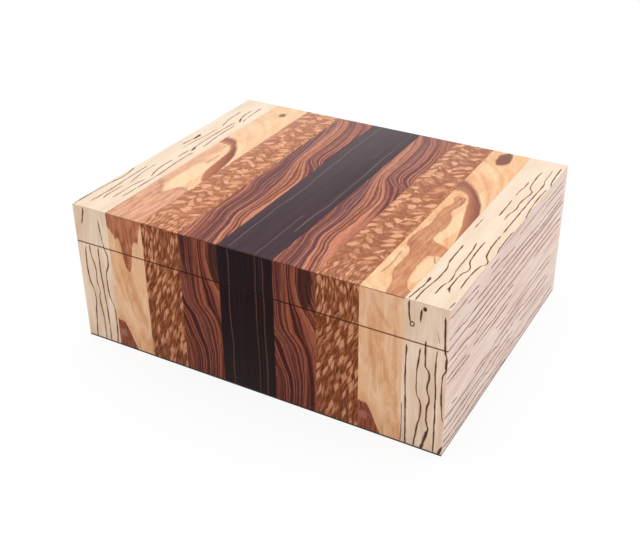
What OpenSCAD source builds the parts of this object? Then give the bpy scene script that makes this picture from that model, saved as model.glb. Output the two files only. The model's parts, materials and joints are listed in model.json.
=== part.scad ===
// Veneered humidor with a hinged lid, cedar lining, sliding tray, humidifier and hygrometer.
// Millimetres. The origin is the middle of the felt's underside, +Z is up and the front faces -Y.

/* [Box] */
// Overall width, across the side veneers
box_w = 340; // [320:1:400]
// Overall depth, from the front veneer to the back veneer
box_d = 270; // [250:1:330]
// Overall height, from the felt's underside to the top veneer
box_h = 131; // [122:1:160]
// Height of the lid, from its rim to the top veneer
lid_h = 34.5; // [34:0.5:44]
// Gap between the lid's rim and the box's rim when closed
seam_gap = 0.4; // [0.2:0.1:0.6]

/* [Carcass] */
// Thickness of the walls and of the lid's rims, without veneer
wall_t = 13; // [12:0.5:16]
// Thickness of the lid's top board
lid_board_t = 9; // [7:0.5:10]
// Thickness of the bottom board
bottom_board_t = 8; // [6:0.5:12]
// Depth of the rebate that the top and bottom boards sit in
rebate = 4; // [2:0.5:4.5]
// Slack of each board in its rebate
board_slack = 0.2; // [0.1:0.05:0.4]
// Thickness of the felt
felt_t = 1.2; // [0.8:0.1:2]
// Distance from the felt's edge to the veneer's face
felt_inset = 0.2; // [0.1:0.1:3]

/* [Veneer] */
// Thickness of every veneer
veneer_t = 0.8; // [0.5:0.1:1.2]
// Width of the ebony strip in the middle
ebony_w = 50; // [40:0.5:60]
// Width of each rosewood strip
rosewood_w = 37.5; // [30:0.5:42]
// Width of each leopard wood strip
leopard_w = 36.5; // [30:0.5:40]
// Width of each olive strip; the spalted strips fill what is left
olive_w = 36; // [30:0.5:40]

/* [Cedar lining] */
// Thickness of the boards that line the walls
liner_t = 5; // [4:0.5:7]
// Thickness of the floor board
floor_liner_t = 4; // [3:0.5:6]
// Thickness of the lid's ceiling board
ceiling_liner_t = 4; // [3:0.5:5]
// Height of the lip, above the box's rim
lip_h = 6; // [4:0.5:8]
// Gap between the lip and the lid's rims
lip_clearance = 0.4; // [0.2:0.1:0.8]
// Gap between the lip's top and the lid's rim linings
lip_top_gap = 0.6; // [0.3:0.1:1]
// Gap at the butt joints of the lid's rim linings
butt_gap = 0.1; // [0.05:0.05:0.3]

/* [Hinges] */
// Thickness of a hinge leaf
leaf_t = 1.6; // [1.2:0.1:2]
// Width of a leaf's legs
leaf_w = 9; // [8:0.5:10]
// Length of the leg along the side wall
leaf_l = 56; // [54:1:70]
// Length of the leg along the back wall, which is the barrel's length
barrel_l = 36; // [34:1:44]
// Outer radius of the barrel
barrel_r = 2.6; // [2.4:0.1:3]
// Radius of the hinge pin
pin_r = 1.3; // [1:0.1:1.5]
// Radial clearance of the pin in its knuckles
pin_clearance = 0.05; // [0.02:0.01:0.1]
// Gap between the barrel and the back veneer
barrel_gap = 0.15; // [0.1:0.05:0.4]
// Number of knuckles in a barrel
knuckles = 5; // [3:2:7]
// Gap between neighbouring knuckles
knuckle_gap = 0.2; // [0.1:0.05:0.4]
// Slack of a leaf in its recess
leaf_slack = 0.1; // [0.05:0.05:0.2]
// Angle at which the stays stop the lid
open_angle = 95; // [85:1:98]
// Radius of the quadrant stay, from the pin to the middle of the strip
stay_r = 29; // [27:0.5:30]
// Radial width of the stay
stay_w = 5; // [4:0.5:5.5]
// Thickness of the stay
stay_t = 1.4; // [1:0.1:1.6]
// Clearance of the stay in its slots and mortises
stay_clearance = 0.3; // [0.2:0.05:0.4]
// How far each foot of the stay stands out past the strip, which stops the lid
foot_out = 1.5; // [1:0.1:1.8]
// Angle that each foot takes up
foot_angle = 4; // [3:0.5:5]
// Radius of the screw's head
screw_head_r = 2.4; // [2:0.1:2.8]
// Height of the screw's countersunk head
screw_head_h = 1.2; // [0.9:0.1:1.2]
// Radius of the screw's shank
screw_r = 1.2; // [1:0.1:1.4]
// Length of the screw
screw_l = 12; // [10:0.5:16]
// Distance between neighbouring screws
screw_pitch = 11; // [9:0.5:12]
// Clearance around each screw
screw_clearance = 0.05; // [0.03:0.01:0.1]

/* [Tray] */
// Width of the tray, which covers about half of the box
tray_w = 148; // [120:1:160]
// Height of the tray
tray_h = 36; // [25:1:38]
// Thickness of the tray's walls
tray_wall_t = 5; // [4:0.5:7]
// Thickness of the tray's floor
tray_floor_t = 3; // [2:0.5:5]
// Gap between the tray and the lining
tray_slack = 0.6; // [0.3:0.1:0.9]
// Running gap between the tray and its rails
tray_lift = 0.2; // [0.1:0.05:0.4]
// Radius of the finger notches in the tray's side walls
notch_r = 13; // [9:0.5:16]
// Number of air slots in the tray's floor
air_slots = 5; // [3:1:6]
// Width of an air slot
air_slot_w = 8; // [5:0.5:10]
// Length of an air slot
air_slot_l = 150; // [100:1:180]
// Distance between neighbouring air slots
air_slot_pitch = 24; // [19:0.5:26]
// Height of the rails' top above the floor
rail_up = 43; // [40:1:46]
// Height of a rail
rail_h = 9; // [6:0.5:10]
// How far a rail stands out from the lining
rail_out = 8; // [5:0.5:12]
// Thickness of the tray's divider
tray_divider_t = 4; // [3:0.5:6]
// Height of the tray's divider
tray_divider_h = 26; // [18:0.5:30]
// Thickness of the lower divider
divider_t = 5; // [4:0.5:7]
// Height of the lower divider
divider_h = 30; // [20:0.5:31]
// Gap between a divider and what it slides between
divider_slack = 0.5; // [0.3:0.1:0.9]
// Gap under a divider
divider_lift = 0.2; // [0.1:0.05:0.4]

/* [Humidifier] */
// Length of the case
hum_w = 120; // [112:1:130]
// Width of the case
hum_d = 60; // [56:1:75]
// Depth of the case
hum_h = 13; // [12:0.5:14]
// Wall of the case
hum_wall = 1.6; // [1.2:0.1:2]
// Thickness of the case's back
hum_back_t = 2.6; // [2.4:0.1:3]
// Distance of the case's middle to the left of the lid's middle
hum_left = 50; // [45:1:60]
// Thickness of the grille
grille_t = 1.8; // [1.4:0.1:2.2]
// Slack of the grille in the case
grille_slack = 0.2; // [0.1:0.05:0.3]
// Thickness of the shutter
shutter_t = 1; // [0.8:0.1:1.4]
// Running gap around the shutter
shutter_slack = 0.25; // [0.15:0.05:0.35]
// Number of vent slots
vents = 9; // [5:1:9]
// Width of a vent slot
vent_w = 4; // [3:0.1:4.2]
// Length of a vent slot
vent_l = 34; // [24:1:36]
// Distance between neighbouring vents
vent_pitch = 10; // [9:0.1:10.5]
// Travel of the shutter, which closes the vents
shutter_travel = 5; // [4.5:0.1:5.5]
// Width of the shutter's thumb tab
tab_w = 10; // [8:0.5:14]
// Depth of the thumb tab
tab_d = 4; // [3:0.5:4.5]
// How far the thumb tab stands out of the grille
tab_out = 1.2; // [0.8:0.1:2]
// Radius of a magnet
magnet_r = 7; // [5:0.5:9]
// Thickness of a magnet
magnet_t = 1.5; // [1:0.1:1.6]
// Clearance of a magnet in its pocket
magnet_clearance = 0.1; // [0.05:0.05:0.2]
// Distance between the two magnets
magnet_pitch = 76; // [60:1:84]
// Radius of a steel plate
plate_r = 8; // [6:0.5:10]
// Thickness of a steel plate
plate_t = 0.8; // [0.5:0.1:0.9]

/* [Hygrometer] */
// Outer radius of the case
hyg_r = 22; // [20:0.5:26]
// Wall of the case
hyg_wall = 1; // [0.8:0.1:1.4]
// Depth of the case's recess in the lid's top board
hyg_recess = 3; // [2:0.5:4]
// Clearance of the case in the wood and in the bezel
hyg_clearance = 0.2; // [0.1:0.05:0.3]
// Distance of the dial's middle to the right of the lid's middle
hyg_right = 80; // [70:1:95]
// Outer radius of the bezel
bezel_r = 27; // [26:0.5:31]
// Depth of the bezel
bezel_h = 5; // [4.6:0.1:6]
// Thickness of the bezel's lip under the glass
bezel_lip_t = 1; // [0.8:0.1:1.2]
// How far the bezel's lip reaches in under the glass
bezel_lip_in = 2; // [1.5:0.1:2.5]
// Thickness of the glass
glass_t = 1.2; // [1:0.1:1.5]
// Gap between the glass and what holds it
glass_gap = 0.1; // [0.05:0.05:0.2]
// Thickness of the dial
dial_t = 0.5; // [0.4:0.1:0.8]
// Width of the ledge that carries the dial
dial_ledge = 1.5; // [1:0.1:2]
// Thickness of the ledge that carries the dial
dial_ledge_t = 1; // [0.8:0.1:1.2]
// Radius of the needle's spindle
spindle_r = 0.7; // [0.5:0.05:0.9]
// Radial clearance of the spindle in its bush
spindle_clearance = 0.05; // [0.02:0.01:0.08]
// Outer radius of the spindle's bush
bush_r = 2.5; // [2:0.1:3]
// Height of the spindle's bush
bush_h = 2.5; // [2:0.1:2.6]
// Length of the needle, from its spindle to its tip
needle_l = 17; // [13:0.5:18]
// Length of the needle's tail
needle_tail = 5; // [3:0.5:7]
// Width of the needle at its hub
needle_w = 1.6; // [1.2:0.1:2]
// Thickness of the needle
needle_t = 0.4; // [0.3:0.05:0.5]
// Radius of the needle's hub
hub_r = 1.8; // [1.5:0.1:2.4]
// Humidity that the needle shows at rest, in per cent
shown_humidity = 70; // [0:1:100]
// Angle that the scale takes up, from 0 to 100 per cent
scale_angle = 270; // [200:5:290]
// Turns of the humidity coil
coil_turns = 4; // [2:1:5]
// Distance between neighbouring turns of the coil
coil_pitch = 1.6; // [1.2:0.1:1.8]
// Thickness of the coil's strip
coil_t = 0.3; // [0.2:0.05:0.4]
// Width of the coil's strip
coil_w = 1.8; // [1.2:0.1:2]
// Gap between the coil and the spindle
coil_gap = 0.4; // [0.3:0.05:0.6]
// Radius of the post that holds the coil's outer end
post_r = 0.9; // [0.7:0.1:1.2]

/* [Hidden] */
$fn = 64;
past = 1;

// Heights
seam_low = box_h - lid_h - seam_gap;
seam_high = box_h - lid_h;
core_top = box_h - veneer_t;
floor_z = felt_t + bottom_board_t + floor_liner_t;
board_z = core_top - lid_board_t;
ceiling_z = board_z - ceiling_liner_t;
lip_z = seam_low + lip_h;

// Outlines in plan
core_w = box_w - 2 * veneer_t;
core_d = box_d - 2 * veneer_t;
bay_w = core_w - 2 * wall_t;
bay_d = core_d - 2 * wall_t;
inner_w = bay_w - 2 * liner_t;
inner_d = bay_d - 2 * liner_t;

// Strip edges, outwards from the middle
rosewood_x = ebony_w / 2;
leopard_x = rosewood_x + rosewood_w;
olive_x = leopard_x + leopard_w;
spalted_x = olive_x + olive_w;

// Hinges: the pin's axis runs along X, behind the back veneer and in the middle of the seam
axis_y = box_d / 2 + barrel_gap + barrel_r;
axis_z = seam_low + seam_gap / 2;
leaf_x = core_w / 2 - wall_t / 2;
leaf_out_x = leaf_x + leaf_w / 2;
knuckle_l = barrel_l / knuckles;
foot_in_r = stay_r - stay_w / 2 - foot_out;
foot_out_r = stay_r + stay_w / 2 + foot_out;
shoulder_angle = open_angle / 2 + asin((seam_gap / 2 + leaf_t + stay_clearance) / foot_in_r);
stay_half_angle = shoulder_angle + foot_angle;
mortise_depth = foot_out_r * sin(stay_half_angle) + stay_clearance;
screw_spots = [
    [leaf_x, box_d / 2 - leaf_l + leaf_w / 2],
    [leaf_x, box_d / 2 - leaf_l + leaf_w / 2 + screw_pitch],
    [leaf_out_x - barrel_l + leaf_w / 2, box_d / 2 - leaf_w / 2],
    [leaf_out_x - barrel_l + leaf_w / 2 + screw_pitch, box_d / 2 - leaf_w / 2]
];

// Tray, at its left stop
tray_d = inner_d - 2 * tray_slack;
tray_x = -inner_w / 2 + tray_slack + tray_w / 2;
rail_z = floor_z + rail_up;
tray_z = rail_z + tray_lift;
tray_floor_w = tray_w - 2 * tray_wall_t;
tray_floor_d = tray_d - 2 * tray_wall_t;

// Humidifier
hum_top = ceiling_z - plate_t;
hum_z = hum_top - hum_h;
hum_cavity_w = hum_w - 2 * hum_wall;
hum_cavity_d = hum_d - 2 * hum_wall;
shutter_z = hum_z + grille_t + shutter_slack;
foam_z = shutter_z + shutter_t + shutter_slack;
foam_top = hum_top - hum_back_t - shutter_slack;
tab_y = -(hum_cavity_d / 2 + vent_l / 2) / 2;

// Hygrometer
hyg_top = board_z + hyg_recess;
bezel_z = ceiling_z - bezel_h;
glass_z = bezel_z + bezel_lip_t;
glass_r = hyg_r - glass_gap;
hyg_z = glass_z + glass_t + glass_gap;
dial_r = hyg_r - hyg_wall - hyg_clearance;
dial_z = ceiling_z - dial_t;
bush_z = hyg_top - hyg_wall - bush_h;
needle_z = (glass_z + glass_t + dial_z) / 2;
needle_angle = (shown_humidity / 100 - 0.5) * scale_angle - 90;
coil_z = dial_z + dial_t + dial_ledge_t;
coil_start_r = spindle_r + coil_gap + coil_t / 2;
coil_end_r = coil_start_r + coil_turns * coil_pitch;
post_x = coil_end_r + coil_t / 2 + glass_gap + post_r;

// Shared shapes

// A block that is centred in plan and stands on z
module block(w, d, z, h) {
    translate([-w / 2, -d / 2, z]) cube([w, d, h]);
}

// The same shape on the right and, mirrored, on the left
module left_and_right() {
    children();
    mirror([1, 0, 0]) children();
}

// One mitred wall, along the front; turned to the other sides by its callers
module mitred_wall(length, depth, z, h) {
    translate([0, 0, z]) linear_extrude(h) polygon([
        [-length / 2, -depth / 2],
        [length / 2, -depth / 2],
        [length / 2 - wall_t, -depth / 2 + wall_t],
        [-length / 2 + wall_t, -depth / 2 + wall_t]
    ]);
}

module front_wall(z, h) { mitred_wall(core_w, core_d, z, h); }
module back_wall(z, h) { rotate([0, 0, 180]) mitred_wall(core_w, core_d, z, h); }
module left_wall(z, h) { rotate([0, 0, -90]) mitred_wall(core_d, core_w, z, h); }
module right_wall(z, h) { rotate([0, 0, 90]) mitred_wall(core_d, core_w, z, h); }

// What is cut from the box's walls: the bottom board's rebate and the hinge recesses
module base_cuts() {
    block(bay_w + 2 * rebate, bay_d + 2 * rebate, felt_t - past, bottom_board_t + past);
    left_and_right() hinge_recess(-1);
}

// What is cut from the lid's rims: the top board's rebate and the hinge recesses
module lid_cuts() {
    block(bay_w + 2 * rebate, bay_d + 2 * rebate, board_z, lid_board_t + past);
    left_and_right() hinge_recess(1);
}

// Strips of one wood, x0 to x1 from the middle, on both sides, over the whole depth of the lid
module top_strips(x0, x1) {
    left_and_right() translate([x0, -box_d / 2, core_top]) cube([x1 - x0, box_d, veneer_t]);
}

// Strips of one wood down the front and the back, on both sides
module upright_strips(x0, x1, z, h) {
    for (y = [-box_d / 2, box_d / 2 - veneer_t])
        left_and_right() translate([x0, y, z]) cube([x1 - x0, veneer_t, h]);
}

module base_strips(x0, x1) {
    difference() {
        upright_strips(x0, x1, felt_t, seam_low - felt_t);
        base_cuts();
    }
}

module rim_strips(x0, x1) {
    difference() {
        upright_strips(x0, x1, seam_high, core_top - seam_high);
        lid_cuts();
    }
}

module side_veneers(z, h) {
    left_and_right() translate([core_w / 2, -core_d / 2, z]) cube([veneer_t, core_d, h]);
}

// Hinge shapes, for the right-hand hinge

// Outline of a leaf: a leg along the side wall and a leg along the back wall
module leaf_outline(grow, beyond) {
    front = box_d / 2 - leaf_l + leaf_w / 2;
    translate([leaf_x, front]) circle(leaf_w / 2 + grow);
    translate([leaf_x - leaf_w / 2 - grow, front])
        square([leaf_w + 2 * grow, box_d / 2 - front + beyond]);
    translate([leaf_out_x - barrel_l - grow, box_d / 2 - leaf_w - grow])
        square([barrel_l + 2 * grow, leaf_w + grow + beyond]);
}

// A countersunk screw that points up from z = 0, or what is cut for it
module screw_shape(grow) {
    cylinder(h = screw_head_h, r1 = screw_head_r + grow, r2 = screw_r + grow);
    cylinder(h = screw_l + grow, r = screw_r + grow);
}

// Places children at each screw of one leaf, pointing into the box (-1) or the lid (1)
module at_screws(way) {
    for (spot = screw_spots)
        translate([spot[0], spot[1], way > 0 ? seam_high : seam_low])
            rotate([way > 0 ? 0 : 180, 0, 0])
                children();
}

// Recess for a leaf, its screws and its stay, in the box (-1) or the lid (1)
module hinge_recess(way) {
    rim = way > 0 ? seam_high : seam_low;
    translate([0, 0, way > 0 ? rim - past : rim - leaf_t])
        linear_extrude(leaf_t + past) leaf_outline(leaf_slack, past);
    at_screws(way) screw_shape(screw_clearance);
    near_y = foot_in_r * cos(stay_half_angle) - stay_clearance;
    far_y = foot_out_r + stay_clearance;
    translate([leaf_x - stay_t / 2 - stay_clearance, axis_y - far_y,
               way > 0 ? axis_z : axis_z - mortise_depth])
        cube([stay_t + 2 * stay_clearance, far_y - near_y, mortise_depth]);
}

// One leaf with its knuckles: the box's leaf (-1) has the odd ones, the lid's leaf (1) the even ones
module hinge_leaf(way) {
    rim = way > 0 ? seam_high : seam_low;
    plate_z = way > 0 ? rim : rim - leaf_t;
    first = way > 0 ? 1 : 0;
    difference() {
        union() {
            translate([0, 0, plate_z]) linear_extrude(leaf_t) leaf_outline(0, 0);
            for (i = [first : 2 : knuckles - 1]) {
                x = leaf_out_x - barrel_l + i * knuckle_l + knuckle_gap / 2;
                translate([x, axis_y, axis_z]) rotate([0, 90, 0])
                    cylinder(h = knuckle_l - knuckle_gap, r = barrel_r);
                translate([x, box_d / 2 - leaf_w / 2, plate_z])
                    cube([knuckle_l - knuckle_gap, axis_y - box_d / 2 + leaf_w / 2, leaf_t]);
            }
        }
        translate([leaf_out_x - barrel_l - past, axis_y, axis_z]) rotate([0, 90, 0])
            cylinder(h = barrel_l + 2 * past, r = pin_r + pin_clearance);
        at_screws(way) screw_shape(screw_clearance);
        translate([leaf_x - stay_t / 2 - stay_clearance,
                   axis_y - stay_r - stay_w / 2 - stay_clearance, plate_z - past])
            cube([stay_t + 2 * stay_clearance, stay_w + 2 * stay_clearance, leaf_t + 2 * past]);
    }
}

// An arc strip about the pin's axis, between two angles that are measured up from the seam
module stay_arc(inner_r, outer_r, low, high) {
    translate([leaf_x, axis_y, axis_z]) rotate([90, 0, 90]) rotate([0, 0, 180 - high])
        rotate_extrude(angle = high - low)
            translate([inner_r, -stay_t / 2]) square([outer_r - inner_r, stay_t]);
}

// A screw with its driver slot
module hinge_screw() {
    slot_w = screw_r / 2;
    difference() {
        screw_shape(0);
        translate([-screw_head_r, -slot_w / 2, -past])
            cube([2 * screw_head_r, slot_w, past + screw_head_h / 2]);
    }
}

// Carcass of the box

module felt_pad() {
    color("#201c1d") block(box_w - 2 * felt_inset, box_d - 2 * felt_inset, 0, felt_t);
}

module base_bottom_board() {
    color("#8a5a3c") block(bay_w + 2 * rebate - 2 * board_slack, bay_d + 2 * rebate - 2 * board_slack,
                           felt_t, bottom_board_t);
}

module base_front_wall() {
    color("#8a5a3c") difference() { front_wall(felt_t, seam_low - felt_t); base_cuts(); }
}

module base_back_wall() {
    color("#8a5a3c") difference() { back_wall(felt_t, seam_low - felt_t); base_cuts(); }
}

module base_left_wall() {
    color("#8a5a3c") difference() { left_wall(felt_t, seam_low - felt_t); base_cuts(); }
}

module base_right_wall() {
    color("#8a5a3c") difference() { right_wall(felt_t, seam_low - felt_t); base_cuts(); }
}

module base_spalted_strips() { color("#dcc4a4") base_strips(spalted_x, box_w / 2); }
module base_olive_strips() { color("#d3a873") base_strips(olive_x, spalted_x); }
module base_leopard_strips() { color("#8a5a3a") base_strips(leopard_x, olive_x); }
module base_rosewood_strips() { color("#6e3c30") base_strips(rosewood_x, leopard_x); }
module base_ebony_strips() { color("#241e20") base_strips(0, rosewood_x); }
module base_side_veneers() { color("#e0c8ba") side_veneers(felt_t, seam_low - felt_t); }

// Cedar lining of the box

module floor_liner() {
    color("#b97f56") block(bay_w, bay_d, felt_t + bottom_board_t, floor_liner_t);
}

// What is cut from the linings so that the lip clears the lid's rims
module lip_cut() {
    difference() {
        block(box_w, box_d, seam_low, lip_h + past);
        block(bay_w - 2 * lip_clearance, bay_d - 2 * lip_clearance, seam_low - past, lip_h + 3 * past);
    }
}

module long_liner(y) {
    color("#b97f56") difference() {
        translate([-bay_w / 2, y, floor_z]) cube([bay_w, liner_t, lip_z - floor_z]);
        lip_cut();
    }
}

module short_liner(x) {
    color("#b97f56") difference() {
        translate([x, -inner_d / 2, floor_z]) cube([liner_t, inner_d, lip_z - floor_z]);
        lip_cut();
    }
}

module base_front_liner() { long_liner(-bay_d / 2); }
module base_back_liner() { long_liner(bay_d / 2 - liner_t); }
module base_left_liner() { short_liner(-bay_w / 2); }
module base_right_liner() { short_liner(bay_w / 2 - liner_t); }

module tray_rails() {
    color("#b97f56") for (y = [-inner_d / 2, inner_d / 2 - rail_out])
        translate([-inner_w / 2, y, rail_z - rail_h]) cube([inner_w, rail_out, rail_h]);
}

// Hinges

module base_hinge_leaves() { color("#c9a24b") left_and_right() hinge_leaf(-1); }
module lid_hinge_leaves() { color("#c9a24b") left_and_right() hinge_leaf(1); }

module hinge_pins() {
    color("#c9a24b") left_and_right()
        translate([leaf_out_x - barrel_l, axis_y, axis_z]) rotate([0, 90, 0])
            cylinder(h = barrel_l, r = pin_r);
}

module base_hinge_screws() { color("#c9a24b") left_and_right() at_screws(-1) hinge_screw(); }
module lid_hinge_screws() { color("#c9a24b") left_and_right() at_screws(1) hinge_screw(); }

// Half of each stay lies in the box and half in the lid, and a foot at each end can't pass the leaf
module quadrant_stays() {
    color("#c9a24b") left_and_right() union() {
        stay_arc(stay_r - stay_w / 2, stay_r + stay_w / 2, -stay_half_angle, stay_half_angle);
        stay_arc(foot_in_r, foot_out_r, shoulder_angle, stay_half_angle);
        stay_arc(foot_in_r, foot_out_r, -stay_half_angle, -shoulder_angle);
    }
}

// Carcass of the lid

module lid_top_board() {
    color("#8a5a3c") difference() {
        block(bay_w + 2 * rebate - 2 * board_slack, bay_d + 2 * rebate - 2 * board_slack,
              board_z, lid_board_t);
        translate([hyg_right, 0, board_z - past])
            cylinder(h = hyg_recess + past, r = hyg_r + hyg_clearance);
    }
}

module lid_front_rim() {
    color("#8a5a3c") difference() { front_wall(seam_high, core_top - seam_high); lid_cuts(); }
}

module lid_back_rim() {
    color("#8a5a3c") difference() { back_wall(seam_high, core_top - seam_high); lid_cuts(); }
}

module lid_left_rim() {
    color("#8a5a3c") difference() { left_wall(seam_high, core_top - seam_high); lid_cuts(); }
}

module lid_right_rim() {
    color("#8a5a3c") difference() { right_wall(seam_high, core_top - seam_high); lid_cuts(); }
}

module lid_top_spalted_strips() { color("#f6e4c8") top_strips(spalted_x, box_w / 2); }
module lid_top_olive_strips() { color("#e4b98c") top_strips(olive_x, spalted_x); }
module lid_top_leopard_strips() { color("#b97d58") top_strips(leopard_x, olive_x); }
module lid_top_rosewood_strips() { color("#8e5a4c") top_strips(rosewood_x, leopard_x); }
module lid_top_ebony_strip() { color("#4a4246") top_strips(0, rosewood_x); }
module lid_rim_spalted_strips() { color("#dcc4a4") rim_strips(spalted_x, box_w / 2); }
module lid_rim_olive_strips() { color("#d3a873") rim_strips(olive_x, spalted_x); }
module lid_rim_leopard_strips() { color("#8a5a3a") rim_strips(leopard_x, olive_x); }
module lid_rim_rosewood_strips() { color("#6e3c30") rim_strips(rosewood_x, leopard_x); }
module lid_rim_ebony_strips() { color("#241e20") rim_strips(0, rosewood_x); }
module lid_side_veneers() { color("#e0c8ba") side_veneers(seam_high, core_top - seam_high); }

// Cedar lining of the lid

module ceiling_liner() {
    color("#b97f56") difference() {
        block(bay_w, bay_d, ceiling_z, ceiling_liner_t);
        translate([hyg_right, 0, ceiling_z - past])
            cylinder(h = ceiling_liner_t + 2 * past, r = hyg_r + hyg_clearance);
    }
}

module lid_rim_liners() {
    z = lip_z + lip_top_gap;
    h = ceiling_z - z;
    color("#b97f56") {
        for (y = [-bay_d / 2, bay_d / 2 - liner_t])
            translate([-bay_w / 2, y, z]) cube([bay_w, liner_t, h]);
        left_and_right() translate([bay_w / 2 - liner_t, butt_gap - inner_d / 2, z])
            cube([liner_t, inner_d - 2 * butt_gap, h]);
    }
}

// Humidifier, which hangs from the ceiling by its magnets

module at_magnets() {
    for (x = [-magnet_pitch / 2, magnet_pitch / 2])
        translate([x - hum_left, 0, 0]) children();
}

module humidifier_plates() {
    color("#b8babd") at_magnets() translate([0, 0, hum_top]) cylinder(h = plate_t, r = plate_r);
}

module humidifier_magnets() {
    color("#b8babd") at_magnets() translate([0, 0, hum_top - magnet_t])
        cylinder(h = magnet_t, r = magnet_r);
}

module humidifier_case() {
    color("#1d1d1f") difference() {
        translate([-hum_left, 0, 0]) block(hum_w, hum_d, hum_z, hum_h);
        translate([-hum_left, 0, 0])
            block(hum_cavity_w, hum_cavity_d, hum_z - past, hum_h - hum_back_t + past);
        at_magnets() translate([0, 0, hum_top - magnet_t])
            cylinder(h = magnet_t + past, r = magnet_r + magnet_clearance);
    }
}

module humidifier_foam() {
    color("#3f6b4f") translate([-hum_left, 0, 0])
        block(hum_cavity_w - 2 * shutter_slack, hum_cavity_d - 2 * shutter_slack,
              foam_z, foam_top - foam_z);
}

module vent_slots(z, h) {
    for (i = [0 : vents - 1])
        translate([(i - (vents - 1) / 2) * vent_pitch, 0, 0]) block(vent_w, vent_l, z, h);
}

module humidifier_shutter() {
    w = hum_cavity_w - 2 * shutter_slack - shutter_travel;
    d = hum_cavity_d - 2 * shutter_slack;
    color("#1d1d1f") translate([-hum_left, 0, 0]) union() {
        difference() {
            translate([-shutter_travel / 2, 0, 0]) block(w, d, shutter_z, shutter_t);
            vent_slots(shutter_z - past, shutter_t + 2 * past);
        }
        translate([-tab_w / 2, tab_y - tab_d / 2, hum_z - tab_out])
            cube([tab_w, tab_d, shutter_z - hum_z + tab_out + shutter_t / 2]);
    }
}

module humidifier_grille() {
    color("#1d1d1f") translate([-hum_left, 0, 0]) difference() {
        block(hum_cavity_w - 2 * grille_slack, hum_cavity_d - 2 * grille_slack, hum_z, grille_t);
        vent_slots(hum_z - past, grille_t + 2 * past);
        translate([-tab_w / 2 - shutter_slack, tab_y - tab_d / 2 - shutter_slack, hum_z - past])
            cube([tab_w + shutter_travel + 2 * shutter_slack, tab_d + 2 * shutter_slack,
                  grille_t + 2 * past]);
    }
}

// Hygrometer, whose dial faces down into the box

module at_dial() { translate([hyg_right, 0, 0]) children(); }

module hygrometer_case() {
    color("#c9a24b") at_dial() difference() {
        union() {
            difference() {
                translate([0, 0, hyg_z]) cylinder(h = hyg_top - hyg_z, r = hyg_r);
                translate([0, 0, hyg_z - past])
                    cylinder(h = hyg_top - hyg_z - hyg_wall + past, r = hyg_r - hyg_wall);
            }
            translate([0, 0, dial_z + dial_t]) difference() {
                cylinder(h = dial_ledge_t, r = hyg_r - hyg_wall / 2);
                translate([0, 0, -past])
                    cylinder(h = dial_ledge_t + 2 * past, r = hyg_r - hyg_wall - dial_ledge);
            }
            translate([0, 0, bush_z]) cylinder(h = bush_h + hyg_wall / 2, r = bush_r);
            translate([post_x, 0, coil_z]) cylinder(h = hyg_top - hyg_wall / 2 - coil_z, r = post_r);
        }
        translate([0, 0, bush_z - past])
            cylinder(h = bush_h + past, r = spindle_r + spindle_clearance);
    }
}

// A flat spiral strip, wound from the spindle out to its post
module hygrometer_coil() {
    step = 15;
    turns = [0 : step : coil_turns * 360];
    function coil_r(a) = coil_start_r + coil_pitch * a / 360;
    outer = [for (a = turns) (coil_r(a) + coil_t / 2) * [cos(a), sin(a)]];
    inner = [for (a = turns) (coil_r(a) - coil_t / 2) * [cos(a), sin(a)]];
    last = len(inner) - 1;
    color("#b08d57") at_dial() translate([0, 0, coil_z]) linear_extrude(coil_w)
        polygon(concat(outer, [for (i = [0 : last]) inner[last - i]]));
}

module hygrometer_dial() {
    color("#f4f1e8") at_dial() translate([0, 0, dial_z]) difference() {
        cylinder(h = dial_t, r = dial_r);
        translate([0, 0, -past]) cylinder(h = dial_t + 2 * past, r = spindle_r + coil_gap);
    }
}

module hygrometer_needle() {
    color("#1b1b1c") at_dial() {
        translate([0, 0, needle_z - needle_t / 2]) rotate([0, 0, needle_angle])
            linear_extrude(needle_t) polygon([
                [-needle_tail, -needle_w / 2],
                [0, -needle_w / 2],
                [needle_l, 0],
                [0, needle_w / 2],
                [-needle_tail, needle_w / 2]
            ]);
        translate([0, 0, needle_z - needle_t]) cylinder(h = 2 * needle_t, r = hub_r);
        translate([0, 0, needle_z]) cylinder(h = bush_z + bush_h / 2 - needle_z, r = spindle_r);
    }
}

module hygrometer_glass() {
    color("#dfe8ea") at_dial() translate([0, 0, glass_z]) cylinder(h = glass_t, r = glass_r);
}

// A turned ring: a seat for the case and the glass, a lip under the glass and a sloped rim
module hygrometer_bezel() {
    seat_r = hyg_r + hyg_clearance;
    lip_r = hyg_r - bezel_lip_in;
    color("#c9a24b") at_dial() rotate_extrude() polygon([
        [seat_r, ceiling_z],
        [seat_r, glass_z],
        [lip_r, glass_z],
        [lip_r, bezel_z],
        [seat_r + bezel_lip_t, bezel_z],
        [bezel_r, ceiling_z - bezel_lip_t],
        [bezel_r, ceiling_z]
    ]);
}

// Tray

module tray_end(y) {
    color("#b97f56") translate([tray_x - tray_w / 2, y, tray_z]) cube([tray_w, tray_wall_t, tray_h]);
}

module tray_front_wall() { tray_end(-tray_d / 2); }
module tray_back_wall() { tray_end(tray_d / 2 - tray_wall_t); }

module tray_side_walls() {
    color("#b97f56") translate([tray_x, 0, 0]) difference() {
        left_and_right() translate([tray_floor_w / 2, -tray_floor_d / 2, tray_z])
            cube([tray_wall_t, tray_floor_d, tray_h]);
        translate([-tray_w / 2 - past, 0, tray_z + tray_h]) rotate([0, 90, 0])
            cylinder(h = tray_w + 2 * past, r = notch_r);
    }
}

module tray_floor() {
    straight = air_slot_l - air_slot_w;
    color("#b97f56") translate([tray_x, 0, tray_z]) linear_extrude(tray_floor_t) difference() {
        square([tray_floor_w, tray_floor_d], center = true);
        for (i = [0 : air_slots - 1]) translate([(i - (air_slots - 1) / 2) * air_slot_pitch, 0]) {
            square([air_slot_w, straight], center = true);
            for (end = [-1, 1]) translate([0, end * straight / 2]) circle(air_slot_w / 2);
        }
    }
}

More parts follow.
